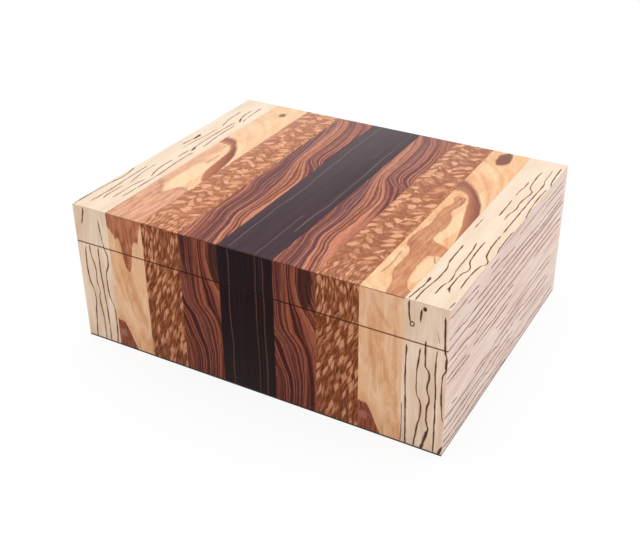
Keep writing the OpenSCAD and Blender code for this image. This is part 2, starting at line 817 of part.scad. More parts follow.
module tray_divider() {
    color("#b97f56") translate([tray_x, 0, 0])
        block(tray_divider_t, tray_floor_d - 2 * divider_slack,
              tray_z + tray_floor_t + divider_lift, tray_divider_h);
}

module lower_divider() {
    color("#b97f56") block(divider_t, inner_d - 2 * divider_slack, floor_z + divider_lift, divider_h);
}

felt_pad();
base_bottom_board();
base_front_wall();
base_back_wall();
base_left_wall();
base_right_wall();
base_spalted_strips();
base_olive_strips();
base_leopard_strips();
base_rosewood_strips();
base_ebony_strips();
base_side_veneers();
floor_liner();
base_front_liner();
base_back_liner();
base_left_liner();
base_right_liner();
tray_rails();
base_hinge_leaves();
hinge_pins();
base_hinge_screws();
lid_top_board();
lid_front_rim();
lid_back_rim();
lid_left_rim();
lid_right_rim();
lid_top_spalted_strips();
lid_top_olive_strips();
lid_top_leopard_strips();
lid_top_rosewood_strips();
lid_top_ebony_strip();
lid_rim_spalted_strips();
lid_rim_olive_strips();
lid_rim_leopard_strips();
lid_rim_rosewood_strips();
lid_rim_ebony_strips();
lid_side_veneers();
ceiling_liner();
lid_rim_liners();
lid_hinge_leaves();
lid_hinge_screws();
humidifier_plates();
humidifier_magnets();
humidifier_case();
humidifier_foam();
humidifier_shutter();
humidifier_grille();
hygrometer_case();
hygrometer_coil();
hygrometer_dial();
hygrometer_needle();
hygrometer_glass();
hygrometer_bezel();
quadrant_stays();
tray_front_wall();
tray_back_wall();
tray_side_walls();
tray_floor();
tray_divider();
lower_divider();
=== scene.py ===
import json
import math
from types import SimpleNamespace

import bmesh
import bpy
from mathutils import Matrix, Vector

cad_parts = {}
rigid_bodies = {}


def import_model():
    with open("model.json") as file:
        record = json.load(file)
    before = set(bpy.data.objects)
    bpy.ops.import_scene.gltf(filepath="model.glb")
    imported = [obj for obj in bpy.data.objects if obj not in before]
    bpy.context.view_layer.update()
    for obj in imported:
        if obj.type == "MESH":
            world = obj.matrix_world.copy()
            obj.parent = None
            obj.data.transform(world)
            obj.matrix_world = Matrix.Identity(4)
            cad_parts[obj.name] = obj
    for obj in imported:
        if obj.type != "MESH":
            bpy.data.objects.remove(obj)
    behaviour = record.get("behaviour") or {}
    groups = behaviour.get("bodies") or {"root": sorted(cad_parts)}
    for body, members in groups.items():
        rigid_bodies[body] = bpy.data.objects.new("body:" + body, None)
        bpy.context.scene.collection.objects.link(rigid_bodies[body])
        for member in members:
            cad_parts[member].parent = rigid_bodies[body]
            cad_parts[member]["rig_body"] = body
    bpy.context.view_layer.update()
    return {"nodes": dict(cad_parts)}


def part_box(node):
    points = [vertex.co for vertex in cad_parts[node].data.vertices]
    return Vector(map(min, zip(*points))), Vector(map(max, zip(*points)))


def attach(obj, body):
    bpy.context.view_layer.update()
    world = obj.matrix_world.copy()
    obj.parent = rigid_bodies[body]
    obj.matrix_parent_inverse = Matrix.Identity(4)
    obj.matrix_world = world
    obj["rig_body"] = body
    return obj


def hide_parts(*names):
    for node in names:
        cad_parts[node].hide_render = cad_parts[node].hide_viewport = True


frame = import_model()


# Felt under the box.
# A sheet of black wool felt, cut a little smaller than the box and glued to its underside, so that the box
# doesn't scratch a table. Its edge shows as a thin dark line under the veneer.

def linear(code):
    """The linear colour of an sRGB hex value."""
    parts = [int(code[i:i + 2], 16) / 255 for i in (1, 3, 5)]
    return [p / 12.92 if p <= 0.04045 else ((p + 0.055) / 1.055) ** 2.4 for p in parts] + [1.0]


def wire(tree, kind, inputs=(), out=0, **settings):
    """Adds a node of a kind, with its operation behind a space, and with its settings, fills or links its
    inputs, by order or key, and returns an output."""
    kind, _, operation = kind.partition(" ")
    made = tree.nodes.new("ShaderNode" + kind)
    if operation:
        made.operation = operation.upper()
    for name, value in settings.items():
        if name == "stops":
            ramp = made.color_ramp.elements
            for stop, (place, colour) in zip(ramp, (value[0], value[-1])):
                stop.position, stop.color = place, linear(colour)
            for place, colour in value[1:-1]:
                ramp.new(place).color = linear(colour)
        elif name == "points":
            curve = made.mapping.curves[0].points
            curve[0].location, curve[1].location = value[0], value[-1]
            for point in value[1:-1]:
                curve.new(*point)
            made.mapping.update()
        else:
            setattr(made, name, value)
    for key, value in inputs.items() if isinstance(inputs, dict) else enumerate(inputs):
        if isinstance(value, bpy.types.NodeSocket):
            tree.links.new(value, made.inputs[key])
        else:
            made.inputs[key].default_value = value
    return made.outputs[out]


def material(name, **surface):
    """Starts a material: its tree, its shader with these plain settings, and Object coordinates in mm."""
    made = bpy.data.materials.new(name)
    made.use_nodes = True
    tree = made.node_tree
    shader = tree.nodes["Principled BSDF"]
    for socket, value in surface.items():
        shader.inputs[socket.replace("_", " ").title().replace("Ior", "IOR")].default_value = value
    here = wire(tree, "TexCoord", out="Object")
    place = wire(tree, "VectorMath scale", {0: here, "Scale": 1000.0})
    return made, tree, shader, place


def dress(shader, colour, rough=None, relief=None):
    """Links a shader's colour and, if given, its roughness and relief: height, strength and depth in m."""
    tree = shader.id_data
    tree.links.new(colour, shader.inputs["Base Color"])
    if rough is not None:
        tree.links.new(rough, shader.inputs["Roughness"])
    if relief is not None:
        height, strength, depth = relief
        bump = wire(tree, "Bump", {"Height": height, "Strength": strength, "Distance": depth})
        tree.links.new(bump, shader.inputs["Normal"])


nodes = frame["nodes"]


def placed(name, shape, finish, node=None, body=None):
    """Makes a piece of a bmesh with its finish. It stands for its node, if any, and rides its body."""
    mesh = bpy.data.meshes.new(name)
    shape.to_mesh(mesh)
    shape.free()
    mesh.shade_smooth()
    mesh.set_sharp_from_angle(angle=math.radians(25))
    mesh.materials.append(finish)
    piece = bpy.data.objects.new(name, mesh)
    bpy.context.scene.collection.objects.link(piece)
    if node:
        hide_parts(node)
    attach(piece, body or nodes[node]["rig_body"])
    return piece


# Wool felt, pressed from short fibres: matt, with a soft fuzz that catches light at grazing angles. Its
# fibres are drawn 0.7 mm wide, so that they show.
wool_felt, tree, shader, place = material("wool_felt", roughness=0.95, sheen_weight=0.15,
                                          sheen_roughness=0.6)
fibres = wire(tree, "TexNoise", {"Vector": place, "Scale": 1 / 0.7, "Detail": 4.0, "Roughness": 0.7})
clumps = wire(tree, "TexNoise", {"Vector": place, "Scale": 1 / 6, "Detail": 2.0})
nap = wire(tree, "Math multiply", [fibres, clumps])
shade = wire(tree, "ValToRGB", [nap], stops=[(0.12, "#141112"), (0.28, "#231f20"), (0.45, "#383233")])
dress(shader, shade, relief=(fibres, 0.5, 0.0003))

# Its underside is a grid of 5 mm squares, which its edge and its upper face close.
low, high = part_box("felt_pad")
felt_width, felt_depth, felt_thick = high.x - low.x, high.y - low.y, high.z - low.z
shape = bmesh.new()
bmesh.ops.create_grid(shape, x_segments=68, y_segments=54, size=0.5)
bmesh.ops.scale(shape, vec=(felt_width, felt_depth, 1), verts=shape.verts)
bmesh.ops.translate(shape, vec=(0, 0, low.z), verts=shape.verts)
border = [edge for edge in shape.edges if edge.is_boundary]
sides = bmesh.ops.extrude_edge_only(shape, edges=border)["geom"]
upper = [part for part in sides if isinstance(part, bmesh.types.BMVert)]
bmesh.ops.translate(shape, vec=(0, 0, felt_thick), verts=upper)
upper = [part for part in sides if isinstance(part, bmesh.types.BMEdge) and part.is_boundary]
bmesh.ops.edgeloop_fill(shape, edges=upper)
bmesh.ops.recalc_face_normals(shape, faces=shape.faces)
felt = placed("felt_sheet", shape, wool_felt, node="felt_pad")


# Carcass of the box and of the lid.
# Mitred walls, rims and boards of plain red-brown hardwood, glued together. Veneer and cedar hide them but
# for the rims, whose sealed edges show when the lid is open.

def hardwood(name, run):
    """Sealed hardwood with a satin sheen, in bands about 6 mm wide along the axis run. Its pores, about
    0.2 mm wide, are drawn 0.6 mm wide, so that they show."""
    made, tree, shader, place = material(name, roughness=0.42, specular_ior_level=0.35)
    stretch = [1.0 if axis == run else 14.0 for axis in "XYZ"]
    drawn = wire(tree, "Mapping", {"Vector": place, "Scale": stretch})
    bands = wire(tree, "TexNoise", {"Vector": drawn, "Scale": 1 / 90, "Detail": 3.0, "Distortion": 0.4})
    pores = wire(tree, "TexNoise", {"Vector": drawn, "Scale": 1 / 9, "Detail": 2.0, "Roughness": 0.7})
    both = wire(tree, "Math multiply_add", [pores, 0.45, bands])
    shade = wire(tree, "ValToRGB", [both],
                 stops=[(0.45, "#54301f"), (0.68, "#7a4a30"), (0.95, "#9a6644")])
    dress(shader, shade, relief=(pores, 0.15, 0.0002))
    return made


hardwood_across = hardwood("sealed_hardwood_across", "X")
hardwood_deep = hardwood("sealed_hardwood_deep", "Y")


def paint(node, finish):
    """Gives a CAD node that stays its finish."""
    nodes[node].data.materials.clear()
    nodes[node].data.materials.append(finish)


for node in ("base_bottom_board", "base_front_wall", "base_back_wall", "lid_top_board", "lid_front_rim",
             "lid_back_rim"):
    paint(node, hardwood_across)
for node in ("base_left_wall", "base_right_wall", "lid_left_rim", "lid_right_rim"):
    paint(node, hardwood_deep)


# Cedar lining, tray and dividers.
# Boards of bare Spanish cedar, planed and sanded but not lacquered, so that the wood can hold moisture. The
# lining stands above the rim as a lip that seals the lid, and every edge is eased with sandpaper.

blend = {"out": 2, "data_type": "RGBA"}  # makes a Mix node blend two colours


def cedar(name, run):
    """Bare cedar: matt, pinkish brown, with soft bands 8 mm wide and open pores along the axis run."""
    made, tree, shader, place = material(name, roughness=0.72, specular_ior_level=0.25)
    stretch = [1.0 if axis == run else 16.0 for axis in "XYZ"]
    drawn = wire(tree, "Mapping", {"Vector": place, "Scale": stretch})
    bands = wire(tree, "TexNoise", {"Vector": drawn, "Scale": 1 / 130, "Detail": 4.0, "Roughness": 0.55,
                                    "Distortion": 0.5})
    streaks = wire(tree, "TexNoise", {"Vector": drawn, "Scale": 1 / 22, "Detail": 3.0, "Roughness": 0.6})
    pores = wire(tree, "TexNoise", {"Vector": drawn, "Scale": 1 / 6, "Detail": 1.0})
    both = wire(tree, "Math multiply_add", [streaks, 0.5, bands])
    shade = wire(tree, "ValToRGB", [both], stops=[
        (0.5, "#9a6444"), (0.68, "#b67c56"), (0.8, "#c48d66"), (1.0, "#d3a27c")])
    open_pore = wire(tree, "MapRange", [pores, 0.63, 0.7, 0.0, 0.55])
    colour = wire(tree, "Mix", {0: open_pore, 6: shade, 7: linear("#7d4d33")}, **blend)
    height = wire(tree, "Math subtract", [streaks, open_pore])
    dress(shader, colour, relief=(height, 0.25, 0.0003))
    return made


cedar_across = cedar("bare_cedar_across", "X")
cedar_deep = cedar("bare_cedar_deep", "Y")


def eased(node, width, finish, pick=None):
    """A merged copy of a CAD node whose sharp outer edges, or those that pick chooses, are rounded over."""
    shape = bmesh.new()
    shape.from_mesh(nodes[node].data)
    bmesh.ops.remove_doubles(shape, verts=shape.verts, dist=1e-6)
    bmesh.ops.dissolve_limit(shape, angle_limit=math.radians(1), verts=shape.verts, edges=shape.edges)
    sharp = [edge for edge in shape.edges if len(edge.link_faces) == 2
             and edge.calc_face_angle_signed() > math.radians(40) and (pick is None or pick(edge))]
    bmesh.ops.bevel(shape, geom=sharp, offset=width, offset_type="OFFSET", affect="EDGES", segments=3,
                    profile=0.5, clamp_overlap=True, material=-1)
    return placed(node + ".eased", shape, finish, node=node)


sanded = 0.0005
for node in ("floor_liner", "base_front_liner", "base_back_liner", "ceiling_liner", "lid_rim_liners",
             "tray_rails", "tray_front_wall", "tray_back_wall"):
    eased(node, sanded, cedar_across)
for node in ("base_left_liner", "base_right_liner", "tray_side_walls", "tray_floor", "tray_divider",
             "lower_divider"):
    eased(node, sanded, cedar_deep)


# Quadrant hinges.
# Two hinges of polished brass, let into the rims and screwed down. Each has an L-shaped leaf in the box and
# one in the lid, a five-knuckle barrel behind the box, and a curved stay that stops the lid.

# Polished brass: a warm yellow shine with faint polishing lines, duller in patches where it has tarnished.
# The polishing lines are drawn 0.4 mm wide, so that they show.
brass, tree, shader, place = material("polished_brass", metallic=1.0, roughness=0.24)
stretched = wire(tree, "Mapping", {"Vector": place, "Scale": (1.0, 14.0, 14.0)})
polish = wire(tree, "TexNoise", {"Vector": stretched, "Scale": 1 / 5, "Detail": 3.0})
tarnish = wire(tree, "TexNoise", {"Vector": place, "Scale": 1 / 14, "Detail": 3.0})
shade = wire(tree, "ValToRGB", [tarnish], stops=[(0.3, "#b8904a"), (0.55, "#d2ab5e"), (0.75, "#dcb96e")])
rough = wire(tree, "MapRange", [polish, 0.3, 0.7, 0.17, 0.34])
dress(shader, shade, rough, (polish, 0.08, 0.0001))

broken_edge = 0.00015
for node in ("base_hinge_leaves", "lid_hinge_leaves", "quadrant_stays"):
    eased(node, broken_edge, brass)
for node in ("hinge_pins", "base_hinge_screws", "lid_hinge_screws"):
    paint(node, brass)


# Veneer.
# Sliced sheets of five woods, glued over the whole outside, sanded flush and lacquered to a low gloss. The
# strips run over the lid and down the front and back, and the two strips of a wood are slices of one log.

# Sizes in mm. The seam and the foot of the veneer are measured down from the top.
box_width, box_depth, box_height = 340.0, 270.0, 131.0
seam_down, foot_down = 34.7, 129.8
# Each wood: where its right strip starts, from the middle of the box, and the width of a strip.
strips = {"spalted": (135.0, 35.0), "olive": (99.0, 36.0), "leopard": (62.5, 36.5),
          "rosewood": (25.0, 37.5), "ebony": (-25.0, 50.0)}
gloss = {"top": 0.09, "front": 0.06, "side": 0.035}  # the front and sides are rubbed down further


def veneer(name, wood, face):
    """Starts a lacquered sheet, and gives two lengths on it in mm: across it, from a strip's left edge, and
    along the grain, from the back on the lid's top, from the top on the front, and from the front on the
    sides. Its right is 1 on a right strip and else 0."""
    made, tree, shader, place = material(name, specular_ior_level=gloss[face])
    x = wire(tree, "SeparateXYZ", [place])
    y, z = x.node.outputs[1], x.node.outputs[2]
    right = wire(tree, "Math greater_than", [x, 0.0])
    down = wire(tree, "Math subtract", [box_height, z])
    across = along = down
    if face == "side":
        along = wire(tree, "Math add", [y, box_depth / 2])
    else:
        inner, width = strips[wood]
        start = wire(tree, "MapRange", {0: right, 3: -inner - width, 4: inner})
        across = wire(tree, "Math subtract", [x, start])
    if face == "top":
        along = wire(tree, "Math subtract", [box_depth / 2, y])
    sheet = SimpleNamespace(made=made, tree=tree, shader=shader, face=face, right=right, down=down,
                            along=along)
    return sheet, tree, across, along


def grain(tree, across, along, fine, long, seed=0.0, detail=3.0, distortion=0.0):
    """Noise from 0 to 1, fine mm wide across the grain and long mm along it."""
    wide = wire(tree, "Math divide", [across, fine])
    deep = wire(tree, "Math divide", [along, long])
    spot = wire(tree, "CombineXYZ", [wide, deep, seed])
    return wire(tree, "TexNoise", {"Vector": spot, "Scale": 1.0, "Detail": detail, "Roughness": 0.55,
                                   "Distortion": distortion})


def swayed(tree, value, noise, reach):
    """A length that a noise moves by up to about reach mm either way."""
    moved = wire(tree, "Math multiply_add", [noise, 2 * reach, value])
    return wire(tree, "Math subtract", [moved, reach])


def track(tree, value, points):
    """A smooth path through (value, result) points, both in mm."""
    starts, ends = zip(*points)
    low, high = min(ends), max(max(ends), min(ends) + 0.1)
    run = wire(tree, "MapRange", [value, starts[0], starts[-1]])
    bent = wire(tree, "FloatCurve", {1: run}, points=[
        ((a - starts[0]) / (starts[-1] - starts[0]), (b - low) / (high - low)) for a, b in points])
    return wire(tree, "MapRange", {0: bent, 3: low, 4: high}, clamp=False)


smooth = {"interpolation_type": "SMOOTHSTEP"}  # makes a Map Range node ease in and out


def blot(tree, across, along, middle, size):
    """1 inside an ellipse and 0 outside it, with a soft rim."""
    wide = wire(tree, "MapRange", [across, middle[0], middle[0] + size[0]], clamp=False)
    deep = wire(tree, "MapRange", [along, middle[1], middle[1] + size[1]], clamp=False)
    spot = wire(tree, "CombineXYZ", [wide, deep])
    reach = wire(tree, "VectorMath length", [spot], out="Value")
    return wire(tree, "MapRange", [reach, 1.12, 0.85], **smooth)


def gap(tree, value, middle):
    """How far a value lies from a middle, on either side of it."""
    off = wire(tree, "Math subtract", [value, middle])
    return wire(tree, "Math absolute", [off])


def line(tree, across, along, points, width, uneven):
    """A line through (along, across) points, which tapers at its ends and swells and thins on its way."""
    away = gap(tree, across, track(tree, along, points))
    first, last = points[0][0], points[-1][0]
    run = wire(tree, "MapRange", [along, first, last, -1.0, 1.0], clamp=False)
    run = wire(tree, "Math absolute", [run])
    end = 7.0 / (last - first + 4.0)  # an end tapers over up to 3.5 mm, and over less on a short line
    taper = wire(tree, "MapRange", [run, 1.0, 1.0 - end, 0.05, width])
    reach = wire(tree, "Math multiply", [uneven, taper])
    reach = wire(tree, "Math divide", [away, reach])
    ink = wire(tree, "MapRange", [reach, 1.6, 0.4], **smooth)
    inside = wire(tree, "Math less_than", [run, 1.0])
    return wire(tree, "Math multiply", [ink, inside])


def lacquer(sheet, colour, fibre, seam_shade_colour="#7a4424", top_edge_dark=0.6):
    """Joins a sheet's colour and fibres to its lacquered surface. The wood is darker along the lid's top
    edges. Painted shade turns the edges beside the seam to the seam colour, for the gap's shadow line, and
    darkens the foot, where the box's underside is in shadow. Wood fibres are about 0.1 mm wide, and the
    sheets draw them 0.5 to 0.7 mm wide, so that they show."""
    tree = sheet.tree
    if sheet.face == "top":
        # On the top, the wood is darker along the lid's front and back edges.
        edge = box_depth / 2
        off = gap(tree, sheet.along, edge)
        top_edge_dark_and_foot_shade = wire(tree, "MapRange", {0: off, 1: edge - 0.3, 2: edge - 0.1, 4: top_edge_dark})
    else:
        off = gap(tree, sheet.down, seam_down)
        # Painted shade: beside the seam the wood turns to the seam colour, for the gap's shadow line.
        seam = wire(tree, "MapRange", {0: off, 1: 0.85, 2: 0.55, 4: 0.75})
        colour = wire(tree, "Mix", {0: seam, 6: colour, 7: linear(seam_shade_colour)}, **blend)
        # Painted shade at the foot, for the shadow under the box's edge, in the dark colour below.
        top_edge_dark_and_foot_shade = wire(tree, "MapRange", {0: sheet.down, 1: foot_down - 0.8, 2: foot_down - 0.3, 4: 0.7})
    colour = wire(tree, "Mix", {0: top_edge_dark_and_foot_shade, 6: colour, 7: linear("#4a2415")}, **blend)
    rough = wire(tree, "MapRange", [fibre, 0.3, 0.7, 0.28, 0.38])
    dress(sheet.shader, colour, rough, (fibre, 0.04, 0.0002))
    return sheet.made


def outer_corner(edge):
    """True for an edge where two of these meet: the sides, the front and back, the top, foot and seam."""
    seam, foot = box_height - seam_down, box_height - foot_down
    ends = [vert.co * 1000 for vert in edge.verts]
    on = (all(abs(abs(end.x) - box_width / 2) < 0.01 for end in ends),
          all(abs(abs(end.y) - box_depth / 2) < 0.01 for end in ends),
          all(abs(end.z - box_height) < 0.01 for end in ends),
          all(abs(end.z - foot) < 0.01 for end in ends),
          all(abs(end.z - seam) < 0.3 for end in ends))
    return sum(on) >= 2


hand_eased = 0.0004


def lay(sheet, *pieces):
    """Lays a sheet on the nodes it covers. Their outer edges and the seam are eased by hand."""
    for node in pieces:
        eased(node, hand_eased, sheet, outer_corner)


# Spalted strips and sides.
# A cream sapwood in which fungus has drawn thin dark lines along the grain, which waver, break off and hook
# back. It makes the outer strips, and covers the left and right sides with its grain from front to back.

def spalted(name, face, pale, tan, ink_colour, strength, bold, left_lines, right_lines=(), blots=()):
    """Each line is a width and points of (along, across), and each blot, on the right strip, a middle and a
    size of (across, along), all in mm. A sheet without right lines has the left ones everywhere."""
    sheet, tree, across, along = veneer(name, "spalted", face)
    fibre = grain(tree, across, along, 0.6, 22.0, 3.0)
    cloud = grain(tree, across, along, 9.0, 60.0, 5.0, 2.0)
    tone = wire(tree, "Math multiply_add", [fibre, 0.35, cloud])
    wood = wire(tree, "ValToRGB", [tone], stops=[(0.5, tan), (0.84, pale)])
    if face == "side":
        # Hair lines between the drawn ones are under 0.2 mm wide. They are drawn about 1 mm wide, to show.
        hairs = grain(tree, across, along, 1.7, 90.0, 14.0, 1.5)
        hairs = wire(tree, "MapRange", {0: hairs, 1: 0.56, 2: 0.68, 4: 0.4})
        wood = wire(tree, "Mix", {0: hairs, 6: wood, 7: linear("#7c4630")}, **blend)
    wobble = grain(tree, across, along, 40.0, 6.0, 8.0, 2.0)
    near = swayed(tree, across, wobble, 0.4)
    weight = grain(tree, across, along, 5.0, 12.0, 9.0, 1.0)
    uneven = wire(tree, "MapRange", [weight, 0.3, 0.7, 0.24 * bold, 0.62 * bold])
    inks = []
    for lines in (left_lines, right_lines):
        ink = 0.0
        for width, *points in lines:
            one = line(tree, near, along, points, width, uneven)
            ink = wire(tree, "Math maximum", [one, ink])
        inks.append(ink)
    for middle, size in blots:
        one = blot(tree, across, along, middle, size)
        inks[1] = wire(tree, "Math maximum", [one, inks[1]])
    ink = wire(tree, "Mix", {0: sheet.right, 2: inks[0], 3: inks[1]}) if right_lines else inks[0]
    ink = wire(tree, "Math multiply", [ink, strength])
    stain = wire(tree, "ValToRGB", [ink], stops=[(0.0, "#ad5c12"), (0.5, "#7c3c04"), (0.95, ink_colour)])
    wood = wire(tree, "Mix", {0: ink, 6: wood, 7: stain}, **blend)
    # It takes the default seam colour of painted shade, and is only a little darker on the lid's top edges.
    return lacquer(sheet, wood, fibre, top_edge_dark=0.15)


spalted_top = spalted(
    "spalted_veneer_top", "top", "#f2dec8", "#ead2b6", "#4c280a", 0.98, 0.78,
    [(1.3, (15, 24.5), (35, 25.5), (55, 27.5)), (1.5, (24, 19), (45, 20.7), (50, 22), (57, 26.5)),
     (1.3, (58, 24), (64, 21.8), (90, 21), (127, 22), (132, 24), (137, 21.5), (153, 21)),
     (1.4, (158, 21), (170, 20.5), (182, 21.5), (191, 23.5), (198, 26)),
     (1.3, (32, 11.5), (47, 11.5), (60, 13), (73, 16.5)),
     (0.9, (80, 16), (100, 15), (122, 13.5), (136, 13.5)), (1.6, (98, 8), (107, 10), (113, 8.8), (128, 8)),
     (1.4, (65, 26), (90, 26), (105, 27), (124, 29)),
     (1.4, (137, 28.5), (152, 27), (176, 28), (200, 29), (241, 27)),
     (1.6, (188, 0.5), (197, 2.5), (210, 4), (217, 3), (260, 1.2), (270, 2)),
     (1.3, (180, 9), (215, 10), (235, 11), (260, 10)),
     (1.3, (174, 13.5), (192, 13.6), (203, 15), (216, 17.5)),
     (1.2, (222, 16), (234, 15), (243, 15.2), (251, 18.5)),
     (1.2, (203, 25.5), (213, 23), (225, 22.2), (246, 22.5)), (3.8, (99, 8), (107, 9.6), (113, 8.8)),
     (3.8, (125, 22), (131, 23.4), (135, 24)), (2.4, (46, 21), (52, 23.4), (57, 26))],
    [(1.2, (49, 14.5), (57, 15.4), (70, 14.2), (81, 14)), (1.4, (89, 14), (105, 14.5), (122, 14.5)),
     (1.4, (25, 19), (38, 18.5), (58, 19.8), (64, 22), (69, 24.2), (80, 23), (92, 22), (103, 22.7),
      (117, 20.7), (127, 21)), (1.6, (18, 26.5), (42, 27), (51, 28.5), (80, 28), (148, 28)),
     (1.6, (152, 27.8), (168, 27.6), (185, 29), (192, 31.5), (198, 33.8), (204, 31), (228, 29.3),
      (241, 30)), (1.4, (9, 32), (30, 32.2), (50, 35.2)),
     (1.4, (56, 34.7), (75, 32.6), (95, 33.2), (116, 35.2)), (1.4, (140, 34.6), (155, 33.8), (180, 35)),
     (1.2, (132, 5.2), (150, 5)),
     (1.5, (179, 7.7), (200, 7.7), (213, 9), (222, 10.3), (245, 9), (258, 7.6), (270, 8)),
     (1.7, (235, 3.8), (241, 5.2), (255, 4), (270, 2.4)),
     (1.4, (171, 15), (190, 17), (218, 17.6), (231, 19.2), (243, 17), (256, 16.5)),
     (1.5, (167, 20.5), (193, 20.7), (204, 22.3), (213, 25.5), (221, 22.8), (240, 22.4), (246, 23.5),
      (249, 26.5)), (3.0, (235, 4.1), (240, 5.2), (245, 4.8)), (3.0, (241, 22.8), (245, 23.4), (249, 26.4)),
     (1.2, (258, 33.6), (264, 33.4), (269, 32.6))])
spalted_front = spalted(
    "spalted_veneer_front", "front", "#ffe5cd", "#ebc9ab", "#481a02", 0.96, 1.0,
    [(1.6, (0, 9), (3, 11), (7, 10.3), (18, 7.5)),
     (1.4, (37, 9), (58, 7.6), (71, 8.4), (89, 12.6), (101, 11.2), (131, 8.5)),
     (1.1, (35, 13), (46, 13.7), (60, 17), (71, 16.5), (80, 18.5), (87, 17.2), (110, 19), (131, 18.6)),
     (1.3, (35, 23.2), (52, 22), (76, 23), (108, 24.3), (131, 24)),
     (1.4, (8, 26), (20, 27), (35, 29), (46, 31.6), (60, 28.3), (71, 27.8), (88, 30.5), (98, 33),
      (131, 30.7))],
    [(1.5, (0, 3.6), (10, 3.9), (20, 5.6)), (1.6, (5, 13.6), (17, 12.8)), (0.7, (20, 26.3), (31, 28.6)),
     (1.5, (38, 3), (62, 2.7), (85, 3.5), (131, 4.8)), (0.8, (91, 0), (110, 1), (131, 0)),
     (1.4, (38, 14.2), (50, 12.8), (65, 11.8), (80, 12.6), (91, 16.2), (110, 13.9), (131, 11.4)),
     (1.6, (30, 17.7), (52, 18.3), (61, 22), (72, 20.5), (82, 22.8), (90, 21.2), (100, 21), (111, 22.7),
      (120, 20.4), (131, 17.3)), (1.5, (35, 28.6), (50, 26.4), (75, 27.4), (131, 28)),
     (1.5, (6, 31.7), (35, 32.9), (47, 35), (57, 32.4), (66, 31.9), (88, 33), (99, 35)),
     (2.4, (40, 34), (46, 34.6), (52, 34)), (3.0, (110, 22.4), (120, 20.4), (131, 17.3)),
     (2.6, (121, 35), (131, 32))],
    [((16, 4.8), (1.6, 1.9)), ((6.6, 18.2), (1.5, 0.6)), ((6.6, 21.6), (1.5, 0.6)),
     ((8.0, 19.9), (0.5, 1.8)), ((5.2, 19.9), (0.5, 1.8)), ((35, 48), (1.2, 2.4))])
side_lines = [
    (1.6, (0, 5.5), (4, 7.5), (45, 8.2), (56, 9.5)), (1.2, (33, 13.5), (56, 14)), (1.3, (78, 7), (98, 7.5)),
    (1.4, (81, 13.4), (100, 13.7), (122, 15.8), (136, 16)), (1.5, (53, 21), (76, 21), (104, 22.4)),
    (1.2, (105, 21.5), (160, 23), (200, 25), (263, 25)),
    (1.7, (0, 25.5), (27, 26.5), (34, 28.2), (41, 27.3), (95, 28), (160, 28.7), (205, 31), (262, 30.5)),
    (1.5, (38, 37.2), (50, 39), (62, 40.3), (110, 41.5), (180, 42.8), (263, 42.5)),
    (1.6, (0, 45.5), (35, 46.2), (55, 49), (63, 47.8), (110, 48.2), (150, 50), (205, 49), (240, 49.3),
     (267, 52.5)), (1.4, (0, 51.5), (40, 52.5)), (1.5, (56, 53.4), (100, 53.4), (142, 55)),
    (1.4, (0, 60), (22, 60.4), (41, 62)), (1.4, (0, 64.4), (30, 66), (48, 66.5)),
    (1.5, (52, 62), (80, 62), (93, 63.3), (120, 62.5), (139, 63.6)),
    (1.4, (63, 66.5), (100, 68), (132, 68.3)), (1.3, (103, 77), (128, 79)),
    (1.3, (130, 78.5), (165, 78.6), (200, 78), (246, 80.5)),
    (1.4, (112, 83.4), (131, 84.5), (175, 83.5), (246, 87)), (1.3, (14, 90.4), (27, 92.4)),
    (1.4, (59, 93), (80, 92), (92, 94), (108, 91), (160, 91.5), (180, 94.5), (237, 96)),
    (1.6, (0, 95), (40, 98.3), (85, 97), (108, 98), (115, 100), (121, 98), (130, 98), (141, 100.2)),
    (1.4, (142, 99.3), (153, 97.8), (180, 100), (225, 102), (246, 100.5)),
    (1.6, (0, 104.5), (20, 107), (38, 106.3), (75, 107.2), (100, 106), (152, 107)),
    (1.4, (169, 106.4), (180, 108.7), (210, 109.5), (237, 108.5)),
    (1.5, (0, 111), (38, 113), (56, 111.5), (86, 111.8), (100, 114), (112, 111.6), (147, 112)),
    (1.5, (0, 117), (27, 120), (75, 119.6), (120, 123), (141, 123)),
    (1.5, (0, 122.5), (25, 126.5), (50, 127.5), (66, 126), (140, 129)),
    (1.5, (142, 121.6), (158, 121), (176, 124.5), (205, 123), (223, 123.6), (229, 126), (236, 123.6),
     (263, 122)), (1.0, (143, 10), (185, 9.6), (240, 11), (263, 11.3)),
    (1.1, (211, 13.5), (217, 15.6), (263, 16.5)), (1.2, (190, 56), (206, 54.5), (236, 56.5), (265, 57)),
    (0.9, (219, 65.5), (259, 65))]
spalted_side = spalted(
    "spalted_veneer_side", "side", "#fae2d6", "#eaccbd", "#5a2006", 0.98, 0.85, side_lines)
lay(spalted_top, "lid_top_spalted_strips")
lay(spalted_front, "lid_rim_spalted_strips", "base_spalted_strips")
lay(spalted_side, "lid_side_veneers", "base_side_veneers")


# Olive strips.
# Olive wood is golden and smooth, with a dark heart that sweeps across the strip and pinkish streaks beyond
# it. The two strips were cut from slices some way apart, so their hearts differ.

def past(tree, value, edge, soft):
    """0 before an edge and 1 past it, with a soft change."""
    beyond = wire(tree, "Math subtract", [value, edge])
    return wire(tree, "MapRange", [beyond, -soft, soft], **smooth)


def rim(tree, value, edge, width):
    """1 on an edge, and 0 from width mm on either side of it."""
    return wire(tree, "MapRange", [gap(tree, value, edge), width, 0.0], **smooth)


def tinted(tree, wood, colour, where, strength):
    """The wood with a colour laid over it where a mask shows, at a given strength."""
    share = wire(tree, "Math multiply", [where, strength])
    return wire(tree, "Mix", {0: share, 6: wood, 7: colour}, **blend)


